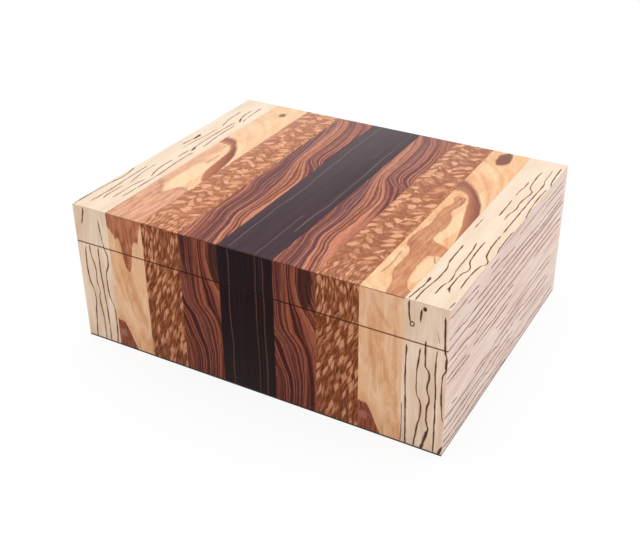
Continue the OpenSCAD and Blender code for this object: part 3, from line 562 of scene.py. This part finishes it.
def olive_top():
    sheet, tree, across, along = veneer("olive_veneer_top", "olive", "top")
    fibre = grain(tree, across, along, 0.7, 26.0, 1.0)
    ragged = grain(tree, across, along, 5.0, 12.0, 2.0, 4.0)
    near, beside = swayed(tree, along, ragged, 4.0), swayed(tree, across, ragged, 1.6)
    streak = grain(tree, across, along, 3.0, 26.0, 7.0, 3.0, 0.8)
    uneven = wire(tree, "MapRange", [ragged, 0.3, 0.7, 0.35, 0.75])
    cloud = grain(tree, across, along, 15.0, 34.0, 12.0, 3.0, 0.8)
    cloud = wire(tree, "MapRange", {0: cloud, 1: 0.46, 2: 0.64, 4: 0.7})

    # The pink heart of the left slice fills its near end, and a vein runs from it along the outer edge.
    shore = track(tree, across, [(0, 196), (10, 206), (18, 217), (21, 213), (25, 204), (30, 203),
                                 (36, 207)])
    path = [(108, 7), (120, 8), (135, 5), (160, 6), (176, 5), (206, 4)]
    vein = line(tree, beside, along, path, 9.0, uneven)
    vein = wire(tree, "Math multiply", [vein, 0.75])
    left_heart = wire(tree, "Math maximum", [past(tree, near, shore, 3.0), vein])
    left_rim = rim(tree, near, shore, 5.0)

    # The heart of the right slice is a tree-like body between two wavering edges.
    left_edge = track(tree, along, [
        (103, 11), (108, 7), (118, 10), (132, 6.5), (160, 7.5), (180, 4), (193, 3.2), (203, 9), (214, 13),
        (238, 13), (250, 17.5), (270, 22)])
    right_edge = track(tree, along, [
        (103, 11), (112, 16), (134, 13), (142, 17), (155, 20), (180, 18), (188, 28), (197, 37), (203, 37),
        (208, 26), (226, 24.5), (242, 26), (257, 31), (265, 37), (270, 37)])
    begun = past(tree, along, 104.0, 1.0)
    body = wire(tree, "Math subtract",
                [past(tree, beside, left_edge, 1.3), past(tree, beside, right_edge, 2.4)])
    right_heart = wire(tree, "Math multiply", [body, begun])
    both = wire(tree, "Math maximum",
                [rim(tree, beside, left_edge, 1.6), rim(tree, beside, right_edge, 1.6)])
    right_rim = wire(tree, "Math multiply", [both, begun])

    # Each slice: the two edges of its dark band, its gold and pink tones, its heart and the heart's rim,
    # its pale patches, its knot (middle, size, strength, colour) and its lines (width, strength, points).
    left_slice = SimpleNamespace(
        upper=[(0, 92), (10, 95), (15, 99), (20, 106), (25, 114), (31, 128), (33, 137), (36, 160)],
        lower=[(0, 108), (12, 108), (17, 112), (20, 119), (22.5, 135), (25, 158), (27, 169), (30, 176),
               (36, 187)],
        golds=("#e3ae84", "#eebf95", "#f6d0aa"), pinks=("#b9765c", "#d19378", "#eebc98"),
        heart=left_heart, rim=left_rim, patches=[((18, 178), (9, 30))],
        knot=((18, 21), (3.2, 5.4), 0.8, "#6b4222"),
        lines=[(2.2, 0.45, (129, 17), (152, 17)), (1.6, 0.35, (219, 10), (231, 10.5))])
    right_slice = SimpleNamespace(
        upper=[(0, 72), (8, 78), (16, 86), (24, 98), (30, 109), (36, 128)],
        lower=[(0, 95), (8, 95), (14, 100), (18, 106), (22, 121), (28, 143), (32, 158), (36, 180)],
        golds=("#d89a68", "#ebb284", "#f6cda0"), pinks=("#a05a3e", "#c07a57", "#dca27a"),
        heart=right_heart, rim=right_rim, patches=[((25, 150), (6, 32)), ((32, 228), (5, 22))],
        knot=((16, 15), (6.6, 15), 0.95, "#7b4034"),
        lines=[(1.3, 0.5, (209, 5.3), (222, 6.6), (233, 7), (247, 4.4)),
               (1.6, 0.6, (206, 30.5), (217, 35.8)), (1.4, 0.4, (104, 7), (110, 14), (118, 16), (130, 14))])
    halves = []
    for cut in (left_slice, right_slice):
        before, after = track(tree, across, cut.upper), track(tree, across, cut.lower)
        ring = wire(tree, "Math subtract", [along, before])
        figure = grain(tree, ring, across, 13.0, 30.0, 4.0, 3.0, 0.5)
        tone = wire(tree, "Math multiply_add", [fibre, 0.35, figure])
        wood = wire(tree, "ValToRGB", [tone], stops=list(zip((0.4, 0.62, 0.9), cut.golds)))
        pale = cloud
        for middle, size in cut.patches:
            patch = blot(tree, beside, near, middle, size)
            pale = wire(tree, "Math maximum", [patch, pale])
        wood = tinted(tree, wood, linear("#f8dcb2"), pale, 0.6)
        sweep = grain(tree, ring, across, 2.6, 30.0, 6.0, 3.0)
        dark = wire(tree, "ValToRGB", [sweep], stops=[(0.3, "#5e2d28"), (0.5, "#86463a"),
                                                      (0.72, "#ab644e")])
        pink = wire(tree, "ValToRGB", [streak], stops=list(zip((0.3, 0.5, 0.72), cut.pinks)))
        depth = wire(tree, "MapRange", [figure, 0.36, 0.62, 0.62, 0.95])
        wood = tinted(tree, wood, pink, cut.heart, depth)
        wood = tinted(tree, wood, linear(cut.pinks[0]), cut.rim, 0.55)
        for width, strength, *points in cut.lines:
            wood = tinted(tree, wood, dark, line(tree, beside, along, points, width, uneven), strength)
        start, stop = past(tree, near, before, 4.0), past(tree, near, after, 2.6)
        band = wire(tree, "Math subtract", [start, stop])
        inward = wire(tree, "MapRange", {0: near, 1: before, 2: after, 4: 0.85})
        dark = wire(tree, "Mix", {0: inward, 6: dark, 7: linear("#c98763")}, **blend)
        wood = wire(tree, "Mix", {0: band, 6: wood, 7: dark}, **blend)
        middle, size, strength, colour = cut.knot
        spot = blot(tree, beside, near, middle, size)
        halves.append(tinted(tree, wood, linear(colour), spot, strength))
    wood = wire(tree, "Mix", {0: sheet.right, 6: halves[0], 7: halves[1]}, **blend)
    return lacquer(sheet, wood, fibre)


def olive_front():
    sheet, tree, across, along = veneer("olive_veneer_front", "olive", "front")
    fibre = grain(tree, across, along, 0.7, 26.0, 1.0)
    ragged = grain(tree, across, along, 3.0, 8.0, 2.0, 4.0)
    near = swayed(tree, along, ragged, 3.0)
    cloud = grain(tree, across, along, 11.0, 38.0, 3.0, 4.0, 1.2)
    tone = wire(tree, "Math multiply_add", [fibre, 0.4, cloud])
    wood = wire(tree, "ValToRGB", [tone], stops=[(0.45, "#dc9d69"), (0.66, "#efb98d"), (0.88, "#fcd0a8")])
    streak = grain(tree, across, along, 2.4, 18.0, 7.0, 3.0, 0.8)
    dark = wire(tree, "ValToRGB", [streak], stops=[(0.3, "#7d3c2a"), (0.5, "#904c36"), (0.75, "#b87558")])
    drip_wood = wire(tree, "Math add", [cloud, streak])
    drip_wood = wire(tree, "MapRange", {0: drip_wood, 1: 0.72, 2: 1.24, 4: 0.85})
    drip_wood = wire(tree, "Mix", {0: drip_wood, 6: dark, 7: linear("#d98f66")}, **blend)

    # On the left strip the heart of the lid's top runs on down the front, in a drip.
    drip = track(tree, across, [
        (0, 12), (4, 17), (8, 22), (11, 22), (14, 38), (17, 49), (19, 51), (21, 48), (24, 31), (27, 21),
        (31, 21), (33, 10), (36, 2)])
    outside = past(tree, near, drip, 1.2)
    left = wire(tree, "Math subtract", [1.0, sheet.right])
    inside = wire(tree, "Math subtract", [1.0, outside])
    inside = wire(tree, "Math multiply", [inside, left])
    uneven = wire(tree, "MapRange", [ragged, 0.3, 0.7, 0.3, 0.8])
    beside = swayed(tree, across, ragged, 1.5)
    for side, width, *points in (
            (left, 5.0, (44, 19), (60, 19), (76, 22), (92, 29), (104, 33)),
            (left, 3.0, (52, 3), (66, 7), (84, 13)), (left, 2.6, (66, 15), (80, 16), (98, 22)),
            (sheet.right, 4.0, (2, 11), (10, 12), (22, 20), (30, 26)),
            (sheet.right, 3.0, (28, 30), (50, 30), (84, 31), (112, 33)),
            (sheet.right, 2.4, (48, 20), (62, 21), (80, 26)),
            (sheet.right, 3.0, (30, 9), (52, 10), (78, 13), (92, 15))):
        vein = line(tree, beside, along, points, width, uneven)
        vein = wire(tree, "Math multiply", [vein, side])
        wood = tinted(tree, wood, linear("#b8683c"), vein, 0.26)
    wood = wire(tree, "Mix", {0: inside, 6: wood, 7: drip_wood}, **blend)

    # Both strips have a dark corner at the foot, with a paler spot in it.
    foot = track(tree, across, [(0, 104), (8, 105), (10, 108), (12, 113), (15, 120), (19, 129), (36, 170)])
    spot = blot(tree, across, near, (5, 116), (3.4, 4.2))
    dark = tinted(tree, dark, linear("#c98f78"), spot, 0.4)
    wood = wire(tree, "Mix", {0: past(tree, near, foot, 1.0), 6: wood, 7: dark}, **blend)
    return lacquer(sheet, wood, fibre)


lay(olive_top(), "lid_top_olive_strips")
lay(olive_front(), "lid_rim_olive_strips", "base_olive_strips")


# Leopard strips.
# Leopard wood is red-brown with pale flecks. Over the lid they lie in strands that lean one way and the
# other, like a loose braid, and down the front they are leaf-shaped and lean to the right.

def flecks(tree, across, along, size, loose, spread, dimmest, streaks, strength):
    """Soft lozenges of about size mm in loose rows, each with its own brightness from the dimmest up, over
    streaks of some strength. Spread says how far a lozenge reaches."""
    wide = wire(tree, "Math divide", [across, size[0]])
    deep = wire(tree, "Math divide", [along, size[1]])
    spot = wire(tree, "CombineXYZ", [wide, deep])
    cell = wire(tree, "TexVoronoi", {"Vector": spot, "Scale": 1.0, "Randomness": loose},
                voronoi_dimensions="2D", distance="MANHATTAN")
    own = wire(tree, "SeparateXYZ", [cell.node.outputs["Color"]])
    ragged = grain(tree, wide, deep, 1.0, 1.0, 11.0, 2.0)
    reach = wire(tree, "Math multiply_add", [ragged, 0.6, cell])
    shape = wire(tree, "MapRange", [reach, spread, spread - 0.44], **smooth)
    bright = wire(tree, "MapRange", {0: own, 3: dimmest, 4: 0.95})
    fleck = wire(tree, "Math multiply", [shape, bright])
    faint = wire(tree, "MapRange", {0: streaks, 1: 0.33, 2: 0.68, 4: strength})
    return wire(tree, "Math add", [fleck, faint])


def leopard_top():
    sheet, tree, across, along = veneer("leopard_veneer_top", "leopard", "top")
    fibre = grain(tree, across, along, 0.6, 7.0, 1.0)

    # The right slice is a little coarser, and shows another part of the figure.
    coarse = wire(tree, "MapRange", {0: sheet.right, 3: 1.02, 4: 1.14})
    across = wire(tree, "Math divide", [across, coarse])
    along = wire(tree, "Math divide", [along, coarse])
    beside = swayed(tree, across, grain(tree, across, along, 16.0, 26.0, 4.0, 2.0), 5.5)
    beside = wire(tree, "Math multiply_add", [sheet.right, 180.0, beside])
    strand_width = 11.0
    strand = wire(tree, "Math divide", [beside, strand_width])
    strand = wire(tree, "Math floor", [strand])
    way = wire(tree, "Math pingpong", [strand, 1.0])
    way = wire(tree, "MapRange", {0: way, 3: 0.62, 4: -0.42})
    inside = wire(tree, "Math floored_modulo", [beside, strand_width])
    slant = wire(tree, "Math multiply_add", [inside, way, along])
    slant = swayed(tree, slant, grain(tree, beside, along, 14.0, 18.0, 6.0, 2.0), 2.5)
    streaks = grain(tree, beside, slant, 3.0, 2.0, 3.0, 2.0)
    braid = flecks(tree, beside, slant, (strand_width, 6.8), 0.9, 0.98, 0.12, streaks, 0.4)

    # Near the front edge the braid breaks into short strokes.
    streaks = grain(tree, beside, along, 1.2, 6.0, 3.0, 2.0)
    strokes = flecks(tree, beside, along, (2.6, 8.0), 0.9, 0.96, 0.15, streaks, 0.4)
    value = wire(tree, "Mix", {0: past(tree, sheet.along, 243.0, 12.0), 2: braid, 3: strokes})
    value = wire(tree, "Math multiply_add", [fibre, 0.25, value])
    value = wire(tree, "Math multiply_add", [sheet.right, -0.1, value])
    wood = wire(tree, "ValToRGB", [value], stops=[
        (0.16, "#985c40"), (0.36, "#b27353"), (0.64, "#cd8d68"), (1.0, "#e4a982")])
    return lacquer(sheet, wood, fibre)


def leopard_front():
    sheet, tree, across, down = veneer("leopard_veneer_front", "leopard", "front")
    fibre = grain(tree, across, down, 0.7, 9.0, 1.0)
    drift = track(tree, down, [(0, 0), (20, 1), (35, 4), (60, 14), (85, 23), (110, 30), (131, 34)])
    lean = wire(tree, "Math add", [across, drift])
    lean = swayed(tree, lean, grain(tree, across, down, 14.0, 20.0, 4.0, 2.0), 3.5)
    along = wire(tree, "Math multiply_add", [sheet.right, 200.0, down])
    streaks = grain(tree, lean, along, 1.2, 9.0, 3.0, 2.0)

    # Leaf-shaped flecks on the box, and finer ones on the lid's rim.
    leaves = flecks(tree, lean, along, (4.1, 13.5), 0.95, 0.96, 0.1, streaks, 0.55)
    strokes = flecks(tree, lean, along, (2.8, 11.0), 0.95, 0.96, 0.1, streaks, 0.55)
    value = wire(tree, "Mix", {0: past(tree, down, 32.0, 10.0), 2: strokes, 3: leaves})
    value = wire(tree, "Math multiply_add", [fibre, 0.25, value])
    wood = wire(tree, "ValToRGB", [value], stops=[
        (0.2, "#6c3318"), (0.4, "#864827"), (0.7, "#ad6b48"), (1.0, "#d79671")])
    # The colour given is the painted shade beside the seam.
    return lacquer(sheet, wood, fibre, "#5a2c18")


lay(leopard_top(), "lid_top_leopard_strips")
lay(leopard_front(), "lid_rim_leopard_strips", "base_leopard_strips")


# Rosewood strips.
# Rosewood is orange-brown, with purple-black lines that run close together and swing to the right on their
# way down. The two strips are neighbouring slices, so the right one repeats the left, slipped sideways.

def rosewood(name, face, slip, guides, figure, line_colour, glow, strength):
    """Guides are pairs of a place on the figure, in mm, and a path of (along, across) points: the figure is
    stretched between these paths. The right strip is slipped slip mm to the left."""
    sheet, tree, across, along = veneer(name, "rosewood", face)
    fibre = grain(tree, across, along, 0.5, 18.0, 1.0)
    across = wire(tree, "Math multiply_add", [sheet.right, slip, across])
    across = swayed(tree, across, grain(tree, across, along, 18.0, 34.0, 4.0, 2.0), 2.0)
    paths = [(place, track(tree, along, points)) for place, points in guides]
    below = wire(tree, "Math subtract", [across, paths[0][1]])
    flow = wire(tree, "Math minimum", [below, 0.0])
    for (start, first), (stop, second) in zip(paths, paths[1:]):
        part = wire(tree, "MapRange", {0: across, 1: first, 2: second, 4: stop - start})
        flow = wire(tree, "Math add", [flow, part])
    above = wire(tree, "Math subtract", [across, paths[-1][1]])
    above = wire(tree, "Math maximum", [above, 0.0])
    flow = wire(tree, "Math add", [flow, above])
    low, high = figure[0][0], figure[-1][0]
    banded = swayed(tree, flow, grain(tree, flow, along, 4.0, 120.0, 2.0, 2.0), 1.2)
    shade = wire(tree, "MapRange", [banded, low, high])
    stops = [((at - low) / (high - low), colour) for at, colour in figure]
    wood = wire(tree, "ValToRGB", [shade], stops=stops)
    lines = grain(tree, flow, along, 1.1, 150.0, 9.0, 0.5)
    thin = wire(tree, "MapRange", [lines, 0.5, 0.58], **smooth)
    wood = tinted(tree, wood, linear(line_colour), thin, strength)
    thin = wire(tree, "MapRange", [lines, 0.46, 0.36], **smooth)
    wood = tinted(tree, wood, linear(glow), thin, 0.7 * strength)

    # The pores are 0.2 mm wide. They are drawn 1.5 mm wide, so that they show.
    pores = grain(tree, across, along, 1.5, 8.0, 13.0, 3.0)
    pores = wire(tree, "MapRange", [pores, 0.3, 0.7, 0.78, 1.22])
    wood = wire(tree, "VectorMath scale", {0: wood, "Scale": pores})
    if face == "front":
        # A dark oval of heartwood shows on the lid's rim, at the strip's right edge.
        rough = grain(tree, across, along, 4.0, 12.0, 7.0, 4.0)
        oval = blot(tree, swayed(tree, across, rough, 2.4), along, (34.8, 14), (6.4, 22))
        wood = tinted(tree, wood, linear("#2a1416"), oval, 0.75)
    # The colour given is the painted shade beside the seam.
    return lacquer(sheet, wood, fibre, "#45201a")


rosewood_top = rosewood("rosewood_veneer_top", "top", 8.0, [
    (0, [(0, -14), (40, -4), (80, 3), (110, 7), (122, 9), (135, 9.5), (150, 8.5), (162, 10), (180, 14.5),
         (215, 15), (240, 19.5), (270, 23)]),
    (10, [(0, 1), (20, 9), (40, 12.5), (60, 13.5), (100, 14), (120, 18), (135, 22), (150, 25), (165, 26),
          (200, 25.5), (215, 24.5), (240, 29.5), (270, 36)]),
    (16, [(0, 7), (20, 15.5), (40, 18.5), (60, 19.5), (100, 19.5), (110, 22.5), (120, 27), (130, 32),
          (140, 35), (165, 36), (185, 36), (215, 34), (240, 40), (270, 46)]),
    (21, [(0, 13), (20, 20), (40, 23), (60, 24.3), (95, 24), (103, 27), (110, 33), (116, 39), (140, 46),
          (270, 60)]),
], [(-24, "#8d5142"), (-19, "#c47f66"), (-15, "#8a4c40"), (-11, "#b56f59"), (-7, "#94574b"),
    (-3, "#7a4642"), (1, "#6c3d3a"), (4, "#8d5a55"), (7, "#744340"), (10, "#cb8468"), (12.5, "#94543f"),
    (16, "#d08a6b"), (18, "#9c5a48"), (21, "#64393a"), (25, "#7b4a48"), (29, "#b06c5c"), (33, "#7f4a44"),
    (38, "#a86753")],
    "#4e282c", "#cb8265", 0.64)
rosewood_front = rosewood("rosewood_veneer_front", "front", 6.5, [
    (0, [(0, -14), (40, -10), (60, -6), (75, 3.5), (88, 8.5), (95, 11.7), (102, 15.3), (110, 17.1),
         (131, 17.4)]),
    (16, [(0, 17.1), (20, 17.6), (50, 19.1), (58, 20.3), (63, 23.5), (69, 28), (76, 31.7), (85, 34),
          (105, 34), (131, 32.3)]),
    (24, [(0, 25.3), (18, 25.4), (25, 27.1), (36, 31.5), (45, 37.5), (60, 44), (131, 54)]),
], [(-18, "#7d3d2c"), (-12, "#97533d"), (-8, "#6a2d21"), (-5, "#4c1d18"), (-2, "#884332"), (0, "#a25843"),
    (2.5, "#6c2f24"), (4.5, "#562927"), (6.5, "#7b453d"), (8.5, "#4a1d1b"), (11, "#764038"),
    (13, "#522320"), (16, "#aa5e45"), (18.5, "#5b281f"), (21, "#7d3e30"), (24, "#a66046"), (27, "#6c3025"),
    (33, "#8a4b39")],
    "#3c1615", "#ab6149", 0.72)
lay(rosewood_top, "lid_top_rosewood_strips")
lay(rosewood_front, "lid_rim_rosewood_strips", "base_rosewood_strips")


# Ebony strip.
# Ebony is nearly black, with a few thin brown lines that run straight along the grain. One wide strip of it
# runs down the middle of the box.

def ebony(name, face, black, dark, line_colour, lines):
    """Each line is a width, a strength and points of (along, across), in mm."""
    sheet, tree, across, along = veneer(name, "ebony", face)
    fibre = grain(tree, across, along, 0.5, 40.0, 1.0)
    streak = grain(tree, across, along, 4.0, 160.0, 2.0)
    tone = wire(tree, "Math multiply_add", [fibre, 0.4, streak])
    wood = wire(tree, "ValToRGB", [tone], stops=[(0.5, black), (0.9, dark)])
    near = swayed(tree, across, grain(tree, across, along, 60.0, 40.0, 5.0, 1.0), 1.6)
    uneven = wire(tree, "MapRange", [streak, 0.3, 0.7, 0.35, 0.7])
    for width, strength, *points in lines:
        drawn = line(tree, near, along, points, width, uneven)
        wood = tinted(tree, wood, linear(line_colour), drawn, strength)
    # The colour given is the painted shade beside the seam.
    return lacquer(sheet, wood, fibre, "#3c2218")


ebony_top = ebony("ebony_veneer_top", "top", "#3d2d33", "#49373d", "#80675f", [
    (1.0, 0.65, (0, 9.4), (60, 8.6), (130, 10), (170, 10.4), (200, 9), (270, 9.6)),
    (1.1, 0.65, (45, 43), (100, 43.4), (160, 44.5), (190, 43), (225, 42.2)),
    (0.8, 0.55, (195, 35.5), (225, 34.5), (270, 34)), (0.7, 0.4, (50, 34), (72, 34.5)),
    (0.7, 0.3, (0, 42), (42, 42.5))])
ebony_front = ebony("ebony_veneer_front", "front", "#1a0b0d", "#281618", "#664436", [
    (1.1, 0.75, (0, 9.4), (60, 9.6), (131, 10.5)), (0.9, 0.65, (0, 34.2), (131, 34.8)),
    (1.2, 0.65, (0, 40.5), (45, 41.5), (131, 42)), (0.5, 0.4, (0, 38), (131, 38.3))])
lay(ebony_top, "lid_top_ebony_strip")
lay(ebony_front, "lid_rim_ebony_strips", "base_ebony_strips")


# Humidifier.
# A flat case of black ABS with a slotted grille and a sliding shutter, filled with foam that is soaked in
# water. Magnets in its back hold it to two steel plates on the lid's lining.

# Moulded ABS: black and satin, with a fine spark-eroded grit, which is drawn 0.5 mm wide so that it shows.
abs_plastic, tree, shader, place = material("moulded_abs", roughness=0.5, specular_ior_level=0.45)
grit = wire(tree, "TexNoise", {"Vector": place, "Scale": 1 / 0.5, "Detail": 2.0})
shade = wire(tree, "ValToRGB", [grit], stops=[(0.3, "#19191b"), (0.7, "#232326")])
rough = wire(tree, "MapRange", [grit, 0.3, 0.7, 0.42, 0.6])
dress(shader, shade, rough, (grit, 0.2, 0.0001))

for part, corner in (("case", 0.0008), ("grille", 0.0003), ("shutter", 0.0002)):
    eased("humidifier_" + part, corner, abs_plastic)


def mottled(name, size, detail, dark, light, **surface):
    """A material that varies between two colours, in soft spots of about size mm."""
    made, tree, shader, place = material(name, **surface)
    spots = wire(tree, "TexNoise", {"Vector": place, "Scale": 1 / size, "Detail": detail})
    dress(shader, wire(tree, "ValToRGB", [spots], stops=[(0.3, dark), (0.7, light)]))
    return made


# Plated steel: turned discs, so the brush marks run in rings too fine to see, and only soften the shine.
plated_steel = mottled("plated_steel", 2.0, 4.0, "#a9abae", "#c9cbce", metallic=1.0, roughness=0.3)
for node in ("humidifier_plates", "humidifier_magnets"):
    paint(node, plated_steel)

# Phenolic foam: a crisp green block of open cells about 1 mm across, matt, with painted shade darkening the
# hollow of each cell.
green_foam, tree, shader, place = material("phenolic_foam", roughness=0.95)
cells = wire(tree, "TexVoronoi", {"Vector": place, "Scale": 1 / 1.1})
dust = wire(tree, "TexNoise", {"Vector": place, "Scale": 1 / 9, "Detail": 3.0})
# Painted shade: each cell is darkest in its middle, in its hollow.
depth = wire(tree, "Math multiply_add", [dust, 0.4, cells])
shade = wire(tree, "ValToRGB", [depth], stops=[(0.15, "#20382a"), (0.5, "#3c6249"), (0.9, "#5b8265")])
dress(shader, shade, relief=(cells, 0.6, 0.0005))

low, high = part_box("humidifier_foam")
shape = bmesh.new()
bmesh.ops.create_cube(shape, size=1.0)
bmesh.ops.scale(shape, vec=high - low, verts=shape.verts)
bmesh.ops.translate(shape, vec=(low + high) / 2, verts=shape.verts)
bmesh.ops.bevel(shape, geom=shape.edges[:], offset=0.0012, offset_type="OFFSET", affect="EDGES", segments=3,
                profile=0.5, material=-1)
foam = placed("foam_block", shape, green_foam, node="humidifier_foam")


# Hygrometer.
# A brass-cased dial instrument, pressed into a round recess of the lid's lining. A coil of two bonded
# strips winds up in moist air and turns the needle over a scale printed from 0 to 100, behind glass.

paint("hygrometer_case", brass)
paint("hygrometer_coil", brass)

dial_low, dial_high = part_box("hygrometer_dial")
dial_middle = (dial_low + dial_high) / 2
bezel_low, bezel_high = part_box("hygrometer_bezel")
bezel_radius, bezel_thick = (bezel_high.x - bezel_low.x) / 2, bezel_high.z - bezel_low.z
seat_radius, lip_radius = 0.0222, 0.0200

# The bezel's cross-section, as (radius, height over its face): seat, lip, face, step and rounded flange.
profile = [
    (seat_radius, bezel_thick), (seat_radius, 0.0010), (lip_radius, 0.0010), (lip_radius, 0.0004),
    (lip_radius + 0.0004, 0.0), (seat_radius + 0.0008, 0.0), (seat_radius + 0.0016, 0.0003),
    (seat_radius + 0.0019, 0.0010), (seat_radius + 0.0029, 0.0019), (bezel_radius - 0.0008, 0.0032),
    (bezel_radius - 0.0002, 0.0038), (bezel_radius, 0.0044), (bezel_radius, bezel_thick)]
shape = bmesh.new()
ring = [shape.verts.new((dial_middle.x + r, dial_middle.y, bezel_low.z + z)) for r, z in profile]
edges = [shape.edges.new(pair) for pair in zip(ring, ring[1:] + ring[:1])]
bmesh.ops.spin(shape, geom=ring + edges, cent=dial_middle, axis=(0, 0, 1), angle=math.tau, steps=96,
               use_merge=True)
bmesh.ops.recalc_face_normals(shape, faces=shape.faces)
placed("bezel_ring", shape, brass, node="hygrometer_bezel")

# Enamelled sheet: a warm white, almost matt.
white_enamel = mottled("white_enamel", 3.0, 3.0, "#ece7da", "#f6f2e7", roughness=0.45)
paint("hygrometer_dial", white_enamel)

# Printing ink and the needle's paint: black, a little uneven.
black_ink = mottled("black_ink", 1.5, 2.0, "#161415", "#242122", roughness=0.6)
paint("hygrometer_needle", black_ink)

# The printed scale: 51 marks, every fifth one longer and bolder, and a number at every tenth of the range.
scale_sweep = math.radians(270)
print_depth = 0.00004
mark_radius, number_radius, number_height = 0.0196, 0.0148, 0.0034
print_middle = Vector((dial_middle.x, dial_middle.y, dial_low.z - print_depth / 2))
shape = bmesh.new()
for step in range(51):
    turn = scale_sweep * (step / 50 - 0.5)
    thick, length = (0.00045, 0.0022) if step % 5 == 0 else (0.00025, 0.0012)
    mark = bmesh.ops.create_cube(shape, size=1.0)["verts"]
    bmesh.ops.scale(shape, vec=(thick, length, print_depth), verts=mark)
    bmesh.ops.translate(shape, vec=(0, length / 2 - mark_radius, 0), verts=mark)
    bmesh.ops.rotate(shape, cent=(0, 0, 0), matrix=Matrix.Rotation(turn, 3, "Z"), verts=mark)
    bmesh.ops.translate(shape, vec=print_middle, verts=mark)
for number in range(0, 101, 10):
    turn = scale_sweep * (number / 100 - 0.5)
    digits = bpy.data.curves.new("numeral", "FONT")
    digits.body = str(number)
    digits.size = number_height
    digits.align_x = digits.align_y = "CENTER"
    digits.extrude = print_depth / 2
    drawn = bpy.data.objects.new("numeral", digits)
    bpy.context.scene.collection.objects.link(drawn)
    bpy.context.view_layer.update()
    letters = bpy.data.meshes.new_from_object(drawn)
    bpy.data.objects.remove(drawn)
    spot = print_middle + number_radius * Vector((math.sin(turn), -math.cos(turn), 0))
    letters.transform(Matrix.Translation(spot) @ Matrix.Rotation(math.pi, 4, "X"))
    shape.from_mesh(letters)
placed("dial_scale", shape, black_ink, body="lid")

# Float glass: clear and thin, with faint smears from wiping.
clear_glass, tree, shader, place = material("float_glass", roughness=0.02, transmission_weight=1.0,
                                            ior=1.45)
shader.inputs["Base Color"].default_value = linear("#f6fafa")
smears = wire(tree, "TexNoise", {"Vector": place, "Scale": 1 / 9, "Detail": 2.0})
rough = wire(tree, "MapRange", [smears, 0.4, 0.7, 0.01, 0.05])
tree.links.new(rough, shader.inputs["Roughness"])
paint("hygrometer_glass", clear_glass)


# The setting.
# A plain white table and studio, a broad soft lamp overhead, a panel to the right, and a camera at the
# photograph's angle.

def seen(tree):
    """1 where a ray shows the surface to the eye, straight, in a reflection or through glass, else 0."""
    rays = wire(tree, "LightPath", out="Is Camera Ray")
    shown = wire(tree, "Math add", [rays, rays.node.outputs["Is Glossy Ray"]])
    through = rays.node.outputs["Is Transmission Ray"]
    return wire(tree, "Math add", [shown, through], use_clamp=True)


# A white table top: to the eye it is white, with a share of matt paint that holds the box's shadow and
# fades out between 0.45 and 1.5 m away.
white_table, tree, shader, place = material("white_table", roughness=0.9, specular_ior_level=0.1)
shader.inputs["Base Color"].default_value = linear("#e7e7e7")
white = wire(tree, "Emission", {"Strength": 1.0})
matt = wire(tree, "BsdfDiffuse", {"Color": linear("#ffffff")})
away = wire(tree, "VectorMath length", [place], out="Value")
shaded = wire(tree, "MapRange", [away, 450.0, 1500.0, 0.12, 0.0])
look = wire(tree, "MixShader", [shaded, white, matt])
surface = wire(tree, "MixShader", [seen(tree), shader.outputs[0], look])
tree.links.new(surface, tree.nodes["Material Output"].inputs["Surface"])

# It lies 0.1 mm under the felt, so that the two don't share a plane.
shape = bmesh.new()
bmesh.ops.create_grid(shape, x_segments=1, y_segments=1, size=6.0)
bmesh.ops.translate(shape, vec=(0, 0, -0.0001), verts=shape.verts)
mesh = bpy.data.meshes.new("table")
shape.to_mesh(mesh)
shape.free()
mesh.materials.append(white_table)
table = bpy.data.objects.new("table", mesh)
bpy.context.scene.collection.objects.link(table)

# The studio is white to the eye, and lights the box from all round with 0.62 of that white.
world = bpy.data.worlds.new("studio")
bpy.context.scene.world = world
world.use_nodes = True
tree = world.node_tree
level = wire(tree, "MapRange", {0: seen(tree), 3: 0.62, 4: 1.0})
backdrop = tree.nodes["Background"]
backdrop.inputs["Color"].default_value = linear("#ffffff")
tree.links.new(level, backdrop.inputs["Strength"])

# Each lamp: its place and width in m, and its power in W. Both face the middle of the box.
for name, place, size, power in (("softbox", (-0.15, 0.05, 2.0), 2.2, 24.3),
                                 ("side_panel", (1.7, 1.0, 0.7), 1.4, 7.0)):
    lamp = bpy.data.lights.new(name, "AREA")
    lamp.shape, lamp.size, lamp.energy = "SQUARE", size, power
    stand = bpy.data.objects.new(name, lamp)
    stand.location = place
    stand.rotation_euler = (Vector((0, 0, 0.07)) - stand.location).to_track_quat("-Z", "Y").to_euler()
    bpy.context.scene.collection.objects.link(stand)

# The camera's angles, lens and place come from a perspective fit of the photograph's box corners. Its place
# is in box widths, to the right, up and back.
azimuth, elevation = math.radians(28.56), math.radians(29.23)
right = Vector((math.cos(azimuth), math.sin(azimuth), 0))
level_back = Vector((math.sin(azimuth), -math.cos(azimuth), 0))
back = math.cos(elevation) * level_back + math.sin(elevation) * Vector((0, 0, 1))
up = back.cross(right)
place = box_width / 1000 * (0.018 * right + 0.190 * up + 2.722 * back)
lens = bpy.data.cameras.new("camera")
lens.sensor_width, lens.lens = 36.0, 56.11
lens.shift_x, lens.shift_y = -0.0259, -0.0588
lens.clip_start, lens.clip_end = 0.05, 30.0
camera = bpy.data.objects.new("camera", lens)
turned = Matrix((right, up, back)).transposed().to_4x4()
camera.matrix_world = Matrix.Translation(place) @ turned
bpy.context.scene.collection.objects.link(camera)
bpy.context.scene.camera = camera
bpy.context.scene.view_settings.view_transform = "Standard"
